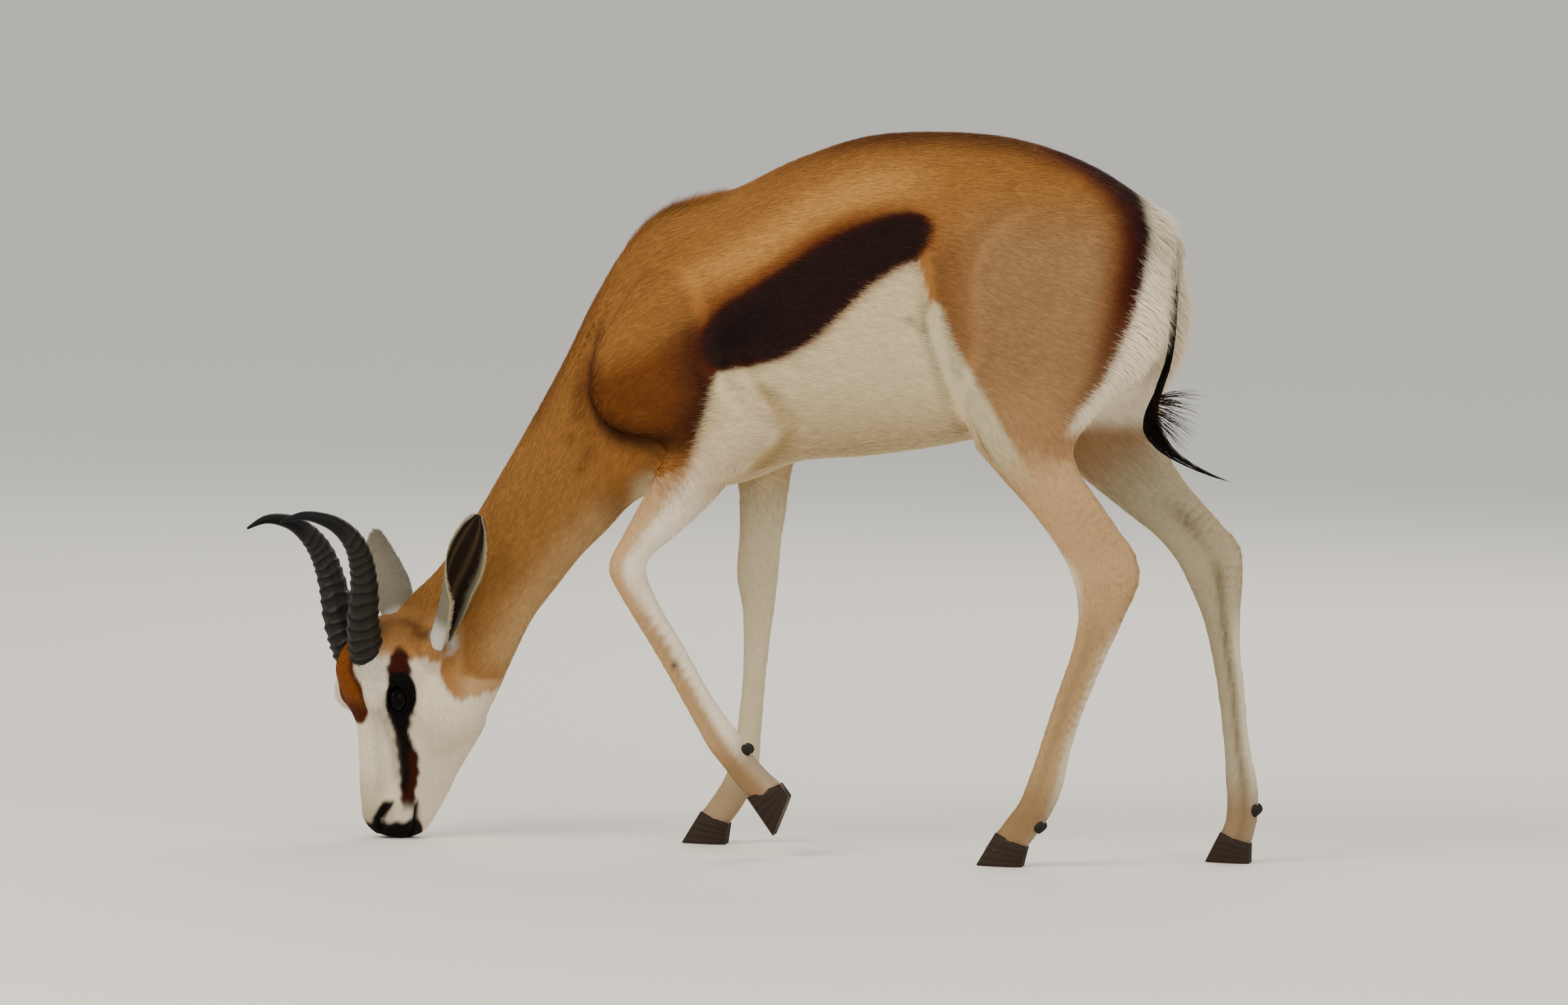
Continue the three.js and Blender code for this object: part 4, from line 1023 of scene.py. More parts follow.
def wear(piece, material, body_nodes):
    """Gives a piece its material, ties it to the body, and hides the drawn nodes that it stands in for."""
    piece.data.materials.append(material)
    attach(piece, "root")
    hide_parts(*body_nodes)


def unit(vectors):
    """Each vector over its own length."""
    return vectors / np.maximum(np.linalg.norm(vectors, axis=-1, keepdims=True), 1e-9)


HAIR_PATCH = 0.0015  # half the size of one hair's patch in the unwrap


def strand_mesh(name, paths, radii, colours, places):
    """One joined mesh of tapered strands. Each step of a path carries three points at 120 degrees on a
    circle of its radius, square to the path, and the last step is the tip."""
    count, steps = paths.shape[:2]
    along = unit(np.gradient(paths, axis=1))
    across = unit(np.cross(along, [0.31, 0.17, 0.93]))
    other = np.cross(along, across)
    turn = np.radians([0, 120, 240])[None, None, :, None]
    square = np.cos(turn) * across[:, :, None] + np.sin(turn) * other[:, :, None]
    rings = paths[:, :, None] + radii[..., None, None] * square
    points = np.concatenate([rings[:, :-1].reshape(count, -1, 3), paths[:, -1:]], 1)
    faces = [[0, 2, 1]]
    for k in range(steps - 1):
        for j in range(3):
            a, b = 3 * k + j, 3 * k + (j + 1) % 3
            faces += [[a, b, 3 * steps - 3]] if k == steps - 2 else [[a, b, a + 3], [b, b + 3, a + 3]]
    corners = points.shape[1]
    triangles = (np.arange(count)[:, None, None] * corners + np.array(faces)).reshape(-1, 3)
    made = fill_mesh(name, points.reshape(-1, 3), triangles)
    colour_points(made.data, np.repeat(colours, corners, axis=0))
    step = np.append(np.repeat(np.arange(steps - 1), 3), steps - 1) / (steps - 1)
    spots = np.stack([np.append(np.tile([-1.0, 1.0, 0.0], steps - 1), 0.0), 2 * step - 1], -1) * HAIR_PATCH
    uv = (places[:, None] + spots[None]).reshape(-1, 2)
    layer = made.data.uv_layers.new(name="OFBake")
    layer.data.foreach_set("uv", uv[triangles.ravel()].astype(np.float32).ravel())
    return made


# Hair: keratin, smooth along its length, but so fine and dense that the coat as a whole looks soft.
hair = painted_material("short_antelope_hair", 0.62, 0.08)[0]
# Glass: polished, its dark colour painted on the back and seen through it.
glass = painted_material("dark_glass_eye", 0.07, 0.05)[0]
for side_name, sign in [("left", 1), ("right", -1)]:
    middle, long_way, short_way, outward = eye_axes(sign)
    polar, turn = np.meshgrid(np.linspace(0.03, np.pi - 0.03, 60), turn_once(72), indexing="ij")
    radius = EYE_RADIUS - 0.9 + 1.0 * bell(polar, 0.55)
    along, across = np.sin(polar) * np.cos(turn), np.sin(polar) * np.sin(turn)
    rel = along[..., None] * long_way + across[..., None] * short_way + np.cos(polar)[..., None] * outward
    ball, triangles = outward_shell(middle + radius[..., None] * rel)
    eye = fill_mesh(f"glass_eye_{side_name}", ball, triangles)
    rel = (ball - middle) / EYE_RADIUS
    ring = np.hypot(rel @ long_way, rel @ short_way) + (rel @ outward < 0) * 2
    pupil = np.hypot((rel @ long_way) / 0.42, (rel @ short_way) / 0.2)
    iris_edge, pupil_edge = ("#070504", ease(ring, 0.48, 0.62)), ("#050404", ease(-pupil, -1.15, -0.9))
    colour_points(eye.data, layered(len(ball), "#0c0705", iris_edge, pupil_edge))
    wear(eye, glass, [f"eye_{side_name}"])
    p = np.linspace(-11.5, 12.5, 30)
    upper = np.sign(short_way @ FACE)
    q = upper * (LIDS_HIGH * np.sqrt(1 - (p / LIDS_LONG) ** 2) ** 1.2 + 0.6)
    out = np.sqrt(EYE_RADIUS**2 - p * p - q * q) + 1.0
    root = middle + p[:, None] * long_way + q[:, None] * short_way + out[:, None] * outward
    k = np.linspace(0, 1, 6)[None, :, None]
    lash_length = (9.0 - 3.0 * abs(p / 13) ** 2)[:, None, None]
    way = 0.75 * outward + 0.5 * upper * short_way
    sweep = (0.25 * np.sign(p) * abs(p / 13))[:, None] * long_way
    lash = root[:, None] + lash_length * k * (way + sweep[:, None] + [0, 0, -0.25] * k)
    radii = np.tile(np.linspace(0.3, 0.06, 6), (30, 1))
    spots = np.stack([np.linspace(0.1, 0.9, 30), np.full(30, 0.5)], -1)
    lashes = strand_mesh(f"lashes_{side_name}", lash, radii, layered(30, "#0d0b0a"), spots)
    wear(lashes, hair, ["head"])

# Horns: keratin sheaths over bone cores, dark grey, with fourteen slanting ridges below and a smooth
# polished hook above. Dust sits between the ridges.
# Columns: t, l and d of the middle line and half width, from the root to the tip.
HORN = [
    [-32, 16, 24, 16],
    [-56, 21, 30, 19],
    [-84, 27, 37, 18],
    [-119, 36, 41, 15.6],
    [-147, 42, 48, 14],
    [-169, 46, 60, 12],
    [-187, 47, 79, 9.3],
    [-196, 45, 100, 6.8],
    [-199, 42, 122, 4.4],
    [-193, 38, 145, 1.3],
]
RIDGES, RIDGES_FROM, RIDGES_TO = 14, 0.05, 0.64  # the ends as shares of the horn's length
HORN_DROOP = {"left": 0, "right": 13}  # how far each tip lies below the one drawn

# Keratin: grown in layers, worn unevenly, so its gloss varies with the same grain as its relief.
horn_material, tree, surface, _ = painted_material("ridged_horn_keratin", 0.42, 0.12)
grain = fine_relief(tree, surface, 260.0, 5.0, 0.4, 0.0005)
gloss = {"To Min": 0.32, "To Max": 0.6}
rough = add_node(tree, "ShaderNodeMapRange", gloss, {"Value": grain.outputs["Fac"]})
tree.links.new(rough.outputs["Result"], surface.inputs["Roughness"])
for side_name, sign in [("left", 1), ("right", -1)]:
    share = np.concatenate([np.linspace(0, 0.66, 230), np.linspace(0.665, 1, 60)])
    path = catmull(HORN, share * (len(HORN) - 1))
    t = path[:, 0] + HORN_DROOP[side_name] * share**2
    middle = head_place(np.stack([t, sign * path[:, 1], path[:, 2]], -1))
    along = np.gradient(middle, axis=0)
    along /= np.linalg.norm(along, axis=1, keepdims=True)
    width = LEFT - (along @ LEFT)[:, None] * along
    width /= np.linalg.norm(width, axis=1, keepdims=True)
    depth = np.cross(along, width)
    k = (share - RIDGES_FROM) / (RIDGES_TO - RIDGES_FROM)
    a = turn_once(56)[None, :]
    phase = (k * RIDGES)[:, None] + 0.1 * np.sin(3 * a + share[:, None] * 40)
    saw = phase - np.floor(phase)
    ridge = np.where(saw < 0.72, (saw / 0.72) ** 1.6, 1 - (np.clip(saw - 0.72, 0, 1) / 0.28) ** 1.3)
    on = (ease(k, -0.03, 0.03) * ease(-k, -1.03, -0.93))[:, None]
    front = 0.62 + 0.38 * np.abs(np.sin(a))
    swell = 0.13 * (1 - 0.45 * np.clip(k, 0, 1))[:, None] * (ridge - 0.45) * on * front
    flute = 0.012 * np.sin(9 * a + 1.3 * sign) * on
    wide = path[:, 3][:, None] * (1 + swell + flute)
    slant = 3.0 * (ease(k, -0.05, 0.05) * ease(-k, -1.05, -0.95))[:, None]
    grid = middle[:, None] + width[:, None] * (0.84 * wide * np.cos(a))[..., None]
    grid = grid + depth[:, None] * (wide * np.sin(a))[..., None]
    grid = grid + along[:, None] * (slant * np.sin(a))[..., None]
    points, triangles = outward_shell(grid)
    horn = fill_mesh(f"horn_sheath_{side_name}", points, triangles)
    ridge_all = np.concatenate([(ridge * on).ravel(), [0, 0]])
    share_all = np.concatenate([np.repeat(share, 56), [0, 1]])
    dust = 0.5 * (1 - ridge_all) * ease(-share_all, -0.66, -0.6)
    tint = layered(
        len(points),
        "#151210",
        ("#332e28", dust),
        ("#0e0c0b", ease(ridge_all, 0.6, 1.0) * 0.7),
        ("#0f1012", ease(share_all, 0.62, 0.72)),
        ("#6f685e", ease(-share_all, -0.07, -0.02) * 0.6),
    )
    colour_points(horn.data, tint)
    wear(horn, horn_material, [f"horn_{side_name}"])

# Ears: thin cartilage leaves rolled into a cup at the root and open above, with a dark inside behind
# a cream rim, and grey-white hair on the back.
# Each ear's root, its line from root to tip and the way it opens, as t, l and d, and its twist.
EARS = {
    "left": {"root": [-60, 54, -36], "vector": [-143, 76, -9], "open": [-0.1, 0.75, 0.62], "twist": -76},
    "right": {"root": [-62, -50, -50], "vector": [-103, -102, -24], "open": [0.1, -0.95, 0.3], "twist": 72},
}
TWISTED_BELOW, TWISTED_UNTIL = 0.4, 0.95  # shares of the ear's length
# Columns: share of the way up, half width, half angle of the roll in degrees, and thickness.
EAR_ROWS = [
    [0, 25, 150, 4],
    [0.13, 28, 135, 3.4],
    [0.28, 32, 112, 2.8],
    [0.45, 34.5, 92, 2.4],
    [0.62, 32, 76, 2.1],
    [0.78, 24.5, 64, 1.8],
    [0.91, 15.5, 56, 1.5],
    [1, 5, 50, 1.2],
]
# Ear skin: thin and matt, with a short fluff on it.
ear_material, tree, surface, _ = painted_material("thin_haired_ear_skin", 0.7, 0.08)
fine_relief(tree, surface, 420.0, 4.0, 0.6, 0.0006)


def ear_surface(spec, share, v, offset):
    """A point of the ear: share of the way up, v across from edge (-1) to edge (1), on an arc whose
    radius is the half width over the half angle of the roll; offset is +0.5 outside and -0.5 inside.
    The lower part is turned about the ear's axis by twist degrees, easing to none further up."""
    origin = head_place(spec["root"])
    axis = head_place(spec["vector"]) - head_place([0, 0, 0])
    length = np.linalg.norm(axis)
    axis = axis / length
    facing = head_place(spec["open"]) - head_place([0, 0, 0])
    facing = facing - (facing @ axis) * axis
    facing /= np.linalg.norm(facing)
    still = np.clip((TWISTED_UNTIL - share) / (TWISTED_UNTIL - TWISTED_BELOW), 0, 1)
    turned = -np.radians(spec["twist"]) * still
    front = np.cos(turned)[:, None] * facing + np.sin(turned)[:, None] * np.cross(axis, facing)
    side = np.cross(axis, front)
    row = catmull(EAR_ROWS, np.interp(share, [r[0] for r in EAR_ROWS], range(len(EAR_ROWS))))
    half, roll, thick = row[:, 1], np.radians(row[:, 2]), row[:, 3]
    radius = half / roll
    angle = v * roll
    r = radius + offset * thick * (1 - 0.45 * v * v)
    point = origin + (share * length)[:, None] * axis + (r * np.sin(angle))[:, None] * side
    outward = np.sin(angle)[:, None] * side - np.cos(angle)[:, None] * front
    return point + (radius * 0.6 - r * np.cos(angle))[:, None] * front, outward, axis


def tuft_mesh(name, roots, normals, ways, length, width, colours, tips, places):
    """One joined mesh of tufts. Each is a sliver of four faces: two points and a low raised third at the
    root, and the tip, at length along its way. The colour runs from the root's to the tip's."""
    count = len(roots)
    across = unit(np.cross(normals, ways))
    wide, high = (width / 2)[:, None], (width * 0.17)[:, None]
    sunk = roots - 0.35 * normals
    tip = sunk + length[:, None] * ways
    points = np.stack([sunk - wide * across, sunk + wide * across, sunk + high * normals, tip], 1)
    faces = np.array([[0, 1, 3], [1, 2, 3], [2, 0, 3], [0, 2, 1]])
    # Painted shade and light along each tuft: a little darker at the root, lighter at the tip.
    shade = np.array([0.94, 0.94, 0.98, 1.04])
    spots = np.array([[-1, -1], [1, -1], [0, -0.3], [0, 1]]) * HAIR_PATCH
    triangles = (np.arange(count)[:, None, None] * 4 + faces).reshape(-1, 3)
    made = fill_mesh(name, points.reshape(-1, 3), triangles, smooth=False)
    both = np.stack([colours, colours, colours, tips], 1)
    colour_points(made.data, (both * shade[None, :, None]).reshape(-1, 3))
    uv = (places[:, None] + spots[None]).reshape(-1, 2)
    layer = made.data.uv_layers.new(name="OFBake")
    layer.data.foreach_set("uv", uv[triangles.ravel()].astype(np.float32).ravel())
    return made


for side_name, spec in EARS.items():
    shares = np.linspace(0, 1, 90)
    vs = np.linspace(-1, 1, 44)
    ring_v = np.concatenate([vs, vs[::-1]])
    ring_offset = np.concatenate([np.full(44, 0.5), np.full(44, -0.5)])
    share_all = np.repeat(shares, 88)
    v_all = np.tile(ring_v, 90)
    offset_all = np.tile(ring_offset, 90)
    grid, _, _ = ear_surface(spec, share_all, v_all, offset_all)
    points, triangles = outward_shell(grid.reshape(90, 88, 3))
    leaf = fill_mesh(f"ear_leaf_{side_name}", points, triangles)
    with_ends = (np.concatenate([x, [x[0], x[-1]]]) for x in (share_all, v_all, offset_all))
    share_all, v_all, offset_all = with_ends
    inner = (offset_all < 0) * ease(-abs(v_all), -0.86, -0.74)
    tint = layered(
        len(points),
        "#6b6656",
        ("#5f563f", ease(share_all, 0.72, 1) * (offset_all > 0)),
        ("#b9b6ad", ease(-share_all, -0.26, -0.1) * (offset_all > 0)),
        ("#1d150c", inner),
        ("#4a3c28", inner * bell(abs(v_all) - 0.35, 0.1) * 0.7),
        ("#998e70", ease(abs(v_all), 0.9, 0.97)),
    )
    colour_points(leaf.data, tint)
    wear(leaf, ear_material, [f"ear_{side_name}"])
    random = np.random.default_rng(5)
    back, edge, lining = 3600, 900, 260
    share = [random.uniform(*span) for span in [(0.06, 0.97, back), (0.06, 1, edge), (0.2, 0.75, lining)]]
    share = np.concatenate(share)
    v = [random.uniform(-1, 1, back), np.sign(random.uniform(-1, 1, edge))]
    v = np.concatenate([*v, random.choice([-0.85, 0.85], lining)])
    offset = np.concatenate([np.full(back, 0.5), np.zeros(edge), np.full(lining, -0.5)])
    root, out, axis = ear_surface(spec, share, v, offset)
    nearer, _, _ = ear_surface(spec, share, v * 0.9, offset)
    sideways = unit(root - nearer)
    kind = np.repeat([0, 1, 2], [back, edge, lining])
    out = np.where((kind == 2)[:, None], -out, out)
    lean = np.array([0.12, 0.0, 0.3])[kind][:, None]
    spread_out = np.array([0.0, 0.8, -0.7])[kind][:, None]
    ways = unit(axis + lean * out + spread_out * sideways + random.normal(0, 0.1, (len(share), 3)))
    long = np.array([6.0, 3.8, 10.0])[kind] * random.uniform(0.6, 1.2, len(share))
    thin = np.array([0.75, 0.5, 0.45])[kind]
    shades = np.stack([linear(c, False) for c in ("#736d5c", "#a1967a", "#5d5541")])[kind]
    shades = paint(shades, "#c2bfb6", ease(-share, -0.26, -0.1) * (kind == 0))
    shades = shades * random.uniform(0.85, 1.12, (len(share), 1))
    spots = np.stack([0.01 + 0.98 * share, 0.5 + 0.16 * v + np.array([-0.32, 0.0, 0.32])[kind]], -1)
    ear_hair = tuft_mesh(f"ear_hair_{side_name}", root, out, ways, long, thin, shades, shades, spots)
    wear(ear_hair, hair, [f"ear_{side_name}"])

# Hoofs: two horn claws on each foot, drawn to a point at the toe, flat below, with faint growth rings,
# and two small black dewclaws behind each fetlock.
# The row of the leg at the top of its claws, the row of its dewclaws, and toe and heel as x and z.
LEGS = {
    "fore_left": {"cut": 19, "dew": 16.7, "hoof": [[-3, 22], [13, 66]]},
    "fore_right": {"cut": 18, "dew": 16.2, "hoof": [[-121, 0], [-72, 0]]},
    "hind_left": {"cut": 20, "dew": 18.8, "hoof": [[217, 0], [267, 0]]},
    "hind_right": {"cut": 20, "dew": 18.2, "hoof": [[448, 0], [497, 0]]},
}
# Hoof horn: worn dull by stony ground, with fine scratches.
hoof_material, tree, surface, _ = painted_material("worn_hoof_horn", 0.55, 0.15)
fine_relief(tree, surface, 500.0, 4.0, 0.5, 0.0004)
for leg_name, spec in LEGS.items():
    rows = LEG_ROWS[leg_name]
    start = catmull(rows, [spec["cut"] - 0.15])[0]
    toe, heel = (np.array(p, float) for p in spec["hoof"])
    front, back = start[0:2], start[2:4]
    for claw_name, side in [("left", -1), ("right", 1)]:
        y = start[4] + side * 8.6
        keys = [
            [*front, *back, y, 7.7 * 0.8, -0.12],
            [*(front + 0.2 * (toe - front)), *(back + 0.2 * (heel - back)), y, 7.5, -0.2],
            [*(front + 0.55 * (toe - front)), *(back + 0.6 * (heel - back)), y, 7.7, -0.32],
            [*(front + 0.95 * (toe - front)), *(back + 0.93 * (heel - back)), y, 7.6, -0.45],
            [*(toe + 0.02 * (heel - toe)), *heel, y, 7.3, -0.45],
        ]
        u = np.linspace(0, 4, 49)
        row = np.stack([np.interp(u, range(5), column) for column in np.array(keys).T], -1)
        c, s = superoval(turn_once(48), 2.2)
        ring = 1 + 0.01 * np.sin(u * 11) * (u < 3.7)
        half = (row[:, 5] * ring)[:, None]
        x = row[:, 2:3] + (row[:, 0:1] - row[:, 2:3]) * (1 + c) / 2
        z = row[:, 3:4] + (row[:, 1:2] - row[:, 3:4]) * (1 + c) / 2
        grid = np.stack([x, y + half * s * (1 + row[:, 6:7] * c), z], -1)
        points, triangles = outward_shell(grid)
        claw = fill_mesh(f"claw_{leg_name}_{claw_name}", points, triangles)
        u_all = np.concatenate([np.repeat(u, 48), [0, 4]])
        growth = ("#241a12", 0.5 + 0.5 * np.sin(u_all * 11))
        worn_edge = ("#463b30", ease(u_all, 3.2, 4.0) * 0.6)
        colour_points(claw.data, layered(len(points), "#2c2118", growth, worn_edge))
        wear(claw, hoof_material, [f"{leg_name}_claw_{claw_name}"])
    ankle = catmull(rows, [spec["dew"]])[0]
    rear = np.array([ankle[2] - ankle[0], 0, ankle[3] - ankle[1]])
    rear /= np.linalg.norm(rear)
    for claw_name, side in [("left", -1), ("right", 1)]:
        middle = np.array([ankle[2] - rear[0] * 3, ankle[4] + side * 9, ankle[3] - rear[2] * 3])
        grid = ball_grid([0, 0, 0], np.eye(3), (6.6, 4.0, 7.0), 24, 28)
        low_end = ease(-grid[..., 2], 0, 8)
        grid[..., 0] *= 1 - 0.35 * low_end
        grid[..., 1] *= 1 - 0.45 * low_end
        points, triangles = outward_shell(grid + middle)
        dew = fill_mesh(f"dewclaw_{leg_name}_{claw_name}", points, triangles)
        colour_points(dew.data, layered(len(points), "#1f1915"))
        wear(dew, hoof_material, [f"{leg_name}_dewclaw_{claw_name}"])

# Tail: a thin stalk of skin over small bones, white at its root and black below, that hangs along the
# rump. Its hairs lie down along it and end in a long black brush, which the walk sweeps backwards.
# Columns: x, y, z and radius.
TAIL = [
    [378, 0, 688, 10],
    [398, 0, 676, 9],
    [406, 0, 652, 6],
    [405, 0, 615, 3.4],
    [406, 0, 576, 2.8],
    [402, 0, 542, 2.6],
    [393, 0, 514, 2.4],
    [386, -1, 490, 1.8],
]
# The middle line of the brush, as x and z.
SWEEP = [
    [406, 556],
    [401, 532],
    [392, 508],
    [385, 487],
    [386, 467],
    [401, 447],
    [424, 432],
    [449, 421],
    [476, 412],
]
path = catmull(TAIL, np.linspace(0, 7, 80))
points, triangles = outward_shell(cord_grid(path, 24))
stalk = fill_mesh("tail_stalk", points, triangles)
black_end = ("#15100d", ease(-points[:, 2], -626, -608))
colour_points(stalk.data, layered(len(points), "#ddd0b4", black_end))
wear(stalk, hide_material, ["tail"])

random = np.random.default_rng(9)
count, steps = 1100, 5
start = random.uniform(0.7, 6.2, count)
k = np.linspace(0, 1, steps)
reach = np.interp(start, [0, 2, 3.5, 7], [0.75, 0.6, 0.45, 0.5])
places_down = np.clip(start[:, None] + reach[:, None] * k, 0, 7)
along_tail = catmull(TAIL, places_down.ravel()).reshape(count, steps, 4)
round_it = random.uniform(0, 2 * np.pi, count)
off = np.stack([np.cos(round_it), np.sin(round_it), 0 * round_it], -1)
fluff = np.interp(start, [0, 2, 3.5, 7], [7, 4, 1.2, 1.5])[:, None, None]
stand = along_tail[:, :1, 3:4] * 0.9 + fluff * k[None, :, None] ** 0.8
lines = along_tail[..., :3] + off[:, None] * stand
radii = np.interp(start, [0, 3, 7], [0.55, 0.4, 0.4])[:, None] * (1 - 0.85 * k)
shades = layered(count, "#ddd2ba", ("#120e0c", ease(-lines[:, -1, 2], -622, -604)))
shades = shades * random.uniform(0.85, 1.15, (count, 1))
spots = np.stack([0.05 + 0.9 * round_it / 6.3, 0.05 + 0.9 * start / 7], -1)
tail_hair = strand_mesh("tail_hair", lines, radii, shades, spots)
wear(tail_hair, hair, ["tail"])

count, steps = 420, 11
k = np.linspace(0, 1, steps)[None, :]
start = random.uniform(-0.2, 3.2, count)[:, None]
long_ones = random.random(count) < 0.14
end = np.where(long_ones, random.uniform(6.2, 8.0, count), random.uniform(3.6, 6.0, count))[:, None]
place = np.clip(start + (end - start) * k, 0, 8)
line = catmull(SWEEP, place.ravel()).reshape(count, steps, 2)
round_it = random.uniform(0, 2 * np.pi, count)[:, None]
wide = np.interp(place, [0, 1.5, 3, 4, 5, 6, 7, 8], [2.2, 4.5, 9, 10.5, 7.5, 4, 2, 0.8])
wide = wide * np.sqrt(random.random(count))[:, None]
back_and_forth = wide * np.cos(round_it)
line_x, line_z = line[..., 0] + 0.8 * back_and_forth, line[..., 1] + 0.5 * back_and_forth
lines = np.stack([line_x, wide * np.sin(round_it), line_z], -1)
fan = random.random(count) < 0.2
low_end = random.random(count)
spread = np.radians(22 - 62 * low_end + random.normal(0, 7, count))[:, None]
reach = random.uniform(22, 58, count)[:, None]
base = catmull(SWEEP, 2.3 + 1.1 * low_end)
fan_x = base[:, :1] + reach * np.cos(spread) * k
fan_z = base[:, 1:] + reach * np.sin(spread) * k - 9 * k**2
fan_y = random.normal(0, 9, count)[:, None] * k
lines = np.where(fan[:, None, None], np.stack([fan_x, fan_y, fan_z], -1), lines)
radii = np.where(fan, 0.5, 0.62)[:, None] * np.linspace(1, 0.12, steps) ** 0.7
shades = layered(count, "#110d0b") * random.uniform(0.8, 1.3, (count, 1))
shades = paint(shades, "#4a3223", fan * random.uniform(0.2, 0.9, count))
spots = np.stack([0.05 + 0.9 * round_it[:, 0] / 6.3, 0.1 + 0.8 * (start[:, 0] + 0.2) / 3.4], -1)
brush = strand_mesh("tail_brush", lines, radii, shades, spots)
wear(brush, hair, ["tail_tuft"])

# Coat: short hair in fine tufts over the skin, lying from nose to poll, down the neck to the rump and
# down the legs. It is longest on the rump, where the white hair is half raised, and at the withers.


def lie_of_hair(points, normals):
    """The way the hair lies at each point, square to the normal, and the unwrap place of each point."""
    x = points[:, 0]
    u, _, c, s, along = along_limb(points, TRUNK)
    lie = -along
    lie[:, 2] -= 0.35 * ease(-abs(normals[:, 2]), -0.8, -0.2) * ease(x, -160, 0)
    lie[:, 2] -= 1.6 * ease(normals[:, 0], 0.25, 0.8) * ease(x, 200, 330)
    turn = np.arctan2(s, c)
    place = np.stack([0.012 + 0.41 * (turn / (2 * np.pi) + 0.5), 0.01 + 0.98 * u / 21], -1)
    for k, name in enumerate(LEG_NAMES):
        share, u, c, s, along = leg_share(points, name)
        reach = ease(u, 1.5, 6.0) * (share > 0) + share
        lie = lie + (np.clip(reach, 0, 1) * 1.5)[:, None] * along
        lie = np.where((share > 0.95)[:, None], along, lie)
        strip = 0.662 + 0.084 * k + 0.078 * (np.arctan2(s, c) / (2 * np.pi) + 0.5)
        leg_place = np.stack([strip, 0.01 + 0.98 * u / 21], -1)
        place = np.where((share > 0.5)[:, None], leg_place, place)
    tld = head_numbers(points)
    t, l, d = tld.T
    part = in_head(tld)
    back = 0.25 + 0.6 * ease(-d, 10, 80) * ease(-t, -90, -20)
    apart = 0.25 * np.sign(l) * ease(d, 5, 25)
    up_face = np.array([0, 0, 1.0]) - back[:, None] * FACE + apart[:, None] * LEFT
    lie = lie + part[:, None] * (1.6 * up_face - lie)
    turn = np.arctan2(l, d + 45)
    head_uv = np.stack([0.44 + 0.205 * (turn / (2 * np.pi) + 0.5), 0.02 + 0.96 * (t + 95) / 255], -1)
    place = np.where((part > 0.5)[:, None], head_uv, place)
    lie = lie - (lie * normals).sum(1, keepdims=True) * normals
    return unit(lie), np.clip(place, 0.003, 0.997)


def coat_measures(points):
    """Length, width, lift in degrees and tufts to the square centimetre of the coat at each point."""
    x, y, z = points.T
    flat = points[:, [0, 2]]
    length, width, lift = np.full(len(x), 13.0), np.full(len(x), 0.95), np.full(len(x), 5.5)
    white = ease(behind_rump_edge(x, z), -6, 10) * ease(z, 500, 570) * ease(x, 250, 300)
    inner = ease(-abs(y), -34, -16) * ease(-z, -690, -640)
    length += 13 * white - 12 * white * inner
    lift += 26 * white - 22 * white * inner
    width += 0.25 * white
    raised = near(flat, [*CREST, (-100, 702)], 12) * ease(-abs(y), -45, -20)
    length += 6 * raised
    lift += 18 * raised
    length -= 2.0 * low_neck(x, z)
    leg = np.zeros(len(x))
    for name in LEG_NAMES:
        share, u, *_ = leg_share(points, name)
        leg = np.maximum(leg, share * ease(u, 5, 8))
        foot = share * ease(u, len(LEG_ROWS[name]) - 2.1, len(LEG_ROWS[name]) - 1.4)
        length += 9 * foot
        lift += 10 * foot
    length -= (4.5 + 1.3 * ease(-z, -330, -200)) * leg
    width -= 0.3 * leg
    lift -= 1.5 * leg
    tld = head_numbers(points)
    t, l, d = tld.T
    part = in_head(tld)
    face_length = 5.2 - 2.2 * ease(t, 90, 135) + 3.5 * ease(-t, 35, 70) + 1.5 * ease(-d, 80, 110)
    length += part * (face_length - length)
    width += part * (0.72 - width)
    lift += part * (6.5 - lift)
    ear_root = line_distance(np.stack([t, abs(l), d], -1), EAR_ROOT)[0]
    ear_tuft = part * ease(-ear_root, -17, -9)
    length += 5 * ear_tuft
    lift += 5 * ear_tuft
    count = 29 + 4 * leg + 25 * part
    return length, width, lift, count


def bare(points):
    """1 where no hair grows: the open eye, the rims of lids and nostrils, the lips and the mouth."""
    tld = head_numbers(points)
    t, l, d = tld.T
    side = abs(l)
    gone = ease(t, 143, 147)
    nostril, _ = line_distance(np.stack([t, side, d], -1), [row[:3] for row in NOSTRIL])
    gone = np.maximum(gone, ease(-nostril, -4.5, -3.0))
    gone = np.maximum(gone, ease(-abs(d - mouth_line(t)), -2.6, -1.8) * ease(t, 108, 116))
    for sign in (1, -1):
        middle, long_way, short_way, _ = eye_axes(sign)
        rel = points - middle
        p, q = rel @ long_way, rel @ short_way
        close_by = np.linalg.norm(rel, axis=1) < 32
        gone = np.maximum(gone, ease(-np.hypot(p / 16.6, q / 12.4), -1.05, -0.95) * close_by)
    return gone * in_head(tld)


def spread_roots(mesh, seed, density):
    """Random places on a mesh, density of them to the square centimetre: triangles are drawn by area times
    density, and a place in each by the square-root rule. Gives three corners and their shares."""
    mesh.calc_loop_triangles()
    corners = np.empty(len(mesh.loop_triangles) * 3, int)
    mesh.loop_triangles.foreach_get("vertices", corners)
    corners = corners.reshape(-1, 3)
    points = mesh_points(mesh)
    a, b, c = (points[corners[:, k]] for k in range(3))
    weight = np.linalg.norm(np.cross(b - a, c - a), axis=1) / 2 * density[corners].mean(1)
    count = int(weight.sum() / 100)  # 100 mm² to the cm²
    random = np.random.default_rng(seed)
    triangle = np.searchsorted(np.cumsum(weight) / weight.sum(), np.sort(random.random(count)))
    picked = corners[triangle.clip(0, len(corners) - 1)]
    r, s = np.sqrt(random.random(count)), random.random(count)
    return picked, np.stack([1 - r, r * (1 - s), r * s], -1)


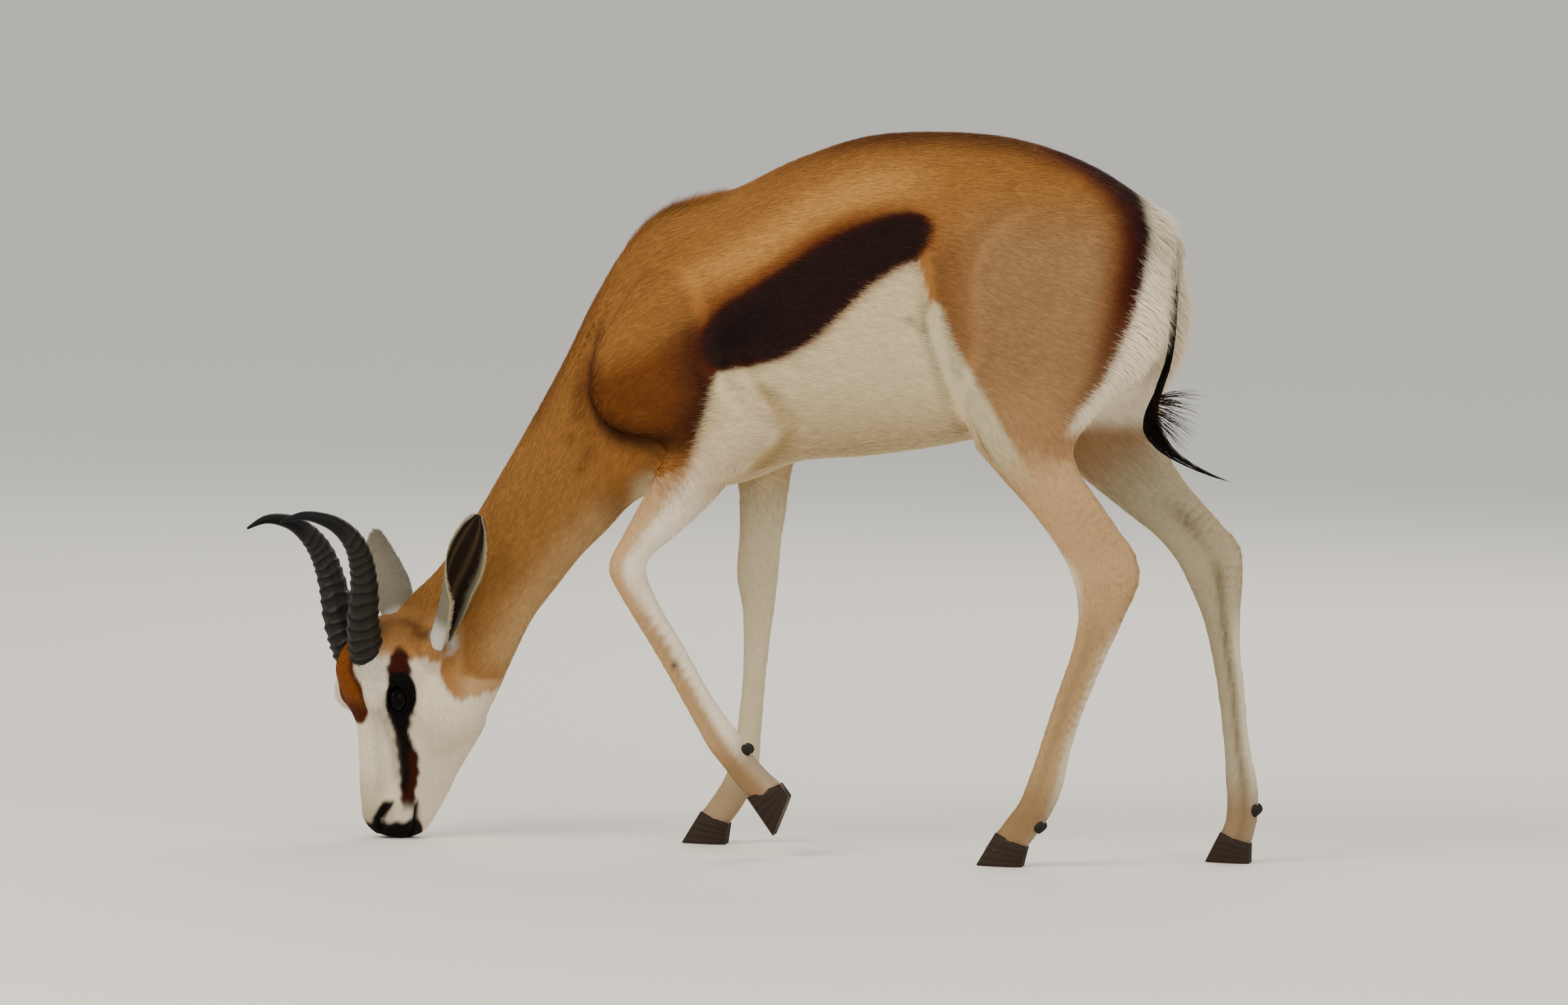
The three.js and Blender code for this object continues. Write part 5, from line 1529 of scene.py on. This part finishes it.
points, normals = mesh_points(skin_mesh), mesh_normals(skin_mesh)
lie, _ = lie_of_hair(points, normals)
a, b = edge_ends(skin_mesh)
for _ in range(14):
    lie = unit(lie + neighbour_sum(lie, a, b))
    lie = unit(lie - (lie * normals).sum(1, keepdims=True) * normals)
length, width, lift, count = coat_measures(points)
density = count * (1 - bare(points))
picked, shares = spread_roots(skin_mesh, 11, density)


def blend_at(values):
    """Values on the skin's points carried to the roots by their shares."""
    return (values[picked] * (shares[..., None] if values.ndim > 1 else shares)).sum(1)


random = np.random.default_rng(23)
roots, root_normals, ways = blend_at(points), unit(blend_at(normals)), unit(blend_at(lie))
across = np.cross(root_normals, ways)
sway = np.radians(random.normal(0, 4, len(roots)))[:, None]
ways = np.cos(sway) * ways + np.sin(sway) * across
rise = np.radians(blend_at(lift) * random.uniform(0.5, 1.6, len(roots)))[:, None]
ways = unit(np.cos(rise) * ways + np.sin(rise) * root_normals)
tuft_length = blend_at(length) * random.uniform(0.7, 1.25, len(roots))
tuft_width = blend_at(width) * random.uniform(0.75, 1.25, len(roots))
reach = tuft_length[:, None] * blend_at(lie)
tone = random.uniform(0.92, 1.08, (len(roots), 1))
root_colour = markings(roots + random.normal(0.1, 0.1, (len(roots), 1)) * reach, root_normals) * tone
tip_colour = markings(roots + random.normal(0.8, 0.12, (len(roots), 1)) * reach, root_normals) * tone
_, places = lie_of_hair(roots, root_normals)
part = in_head(head_numbers(roots)) > 0.5
x, y, z = roots.T
on_legs = {name: leg_share(roots, name)[0] > 0.5 for name in LEG_NAMES}
on_leg = np.any(list(on_legs.values()), axis=0)
neck = ~part & ~on_leg & (-x - 0.55 * (z - 450) > 225)
trunk = ~part & ~on_leg & ~neck
areas = {
    "coat_head": (part, ["head"]),
    "coat_neck": (neck, ["neck"]),
}
for leg in ("fore", "hind"):
    legs = [f"{leg}_left", f"{leg}_right"]
    leg_nodes = [f"{name}_{part_name}" for name in legs for part_name in ("upper", "cannon", "pastern")]
    areas[f"coat_{leg}_legs"] = (on_legs[legs[0]] | on_legs[legs[1]], leg_nodes)
for area_name, low_x, high_x, node in [
    ("shoulder", -999, -20, "torso_front"),
    ("barrel", -20, 150, "torso_middle"),
    ("loin", 150, 280, "torso_middle"),
    ("rump", 280, 999, "torso_rear"),
]:
    where = trunk & (x >= low_x) & (x < high_x)
    areas[f"coat_{area_name}_left"] = (where & (y < 0), [node])
    areas[f"coat_{area_name}_right"] = (where & (y >= 0), [node])
for area_name, (where, nodes) in areas.items():
    parts = (roots, root_normals, ways, tuft_length, tuft_width, root_colour, tip_colour, places)
    made = tuft_mesh(area_name, *(values[where] for values in parts))
    wear(made, hair, nodes)
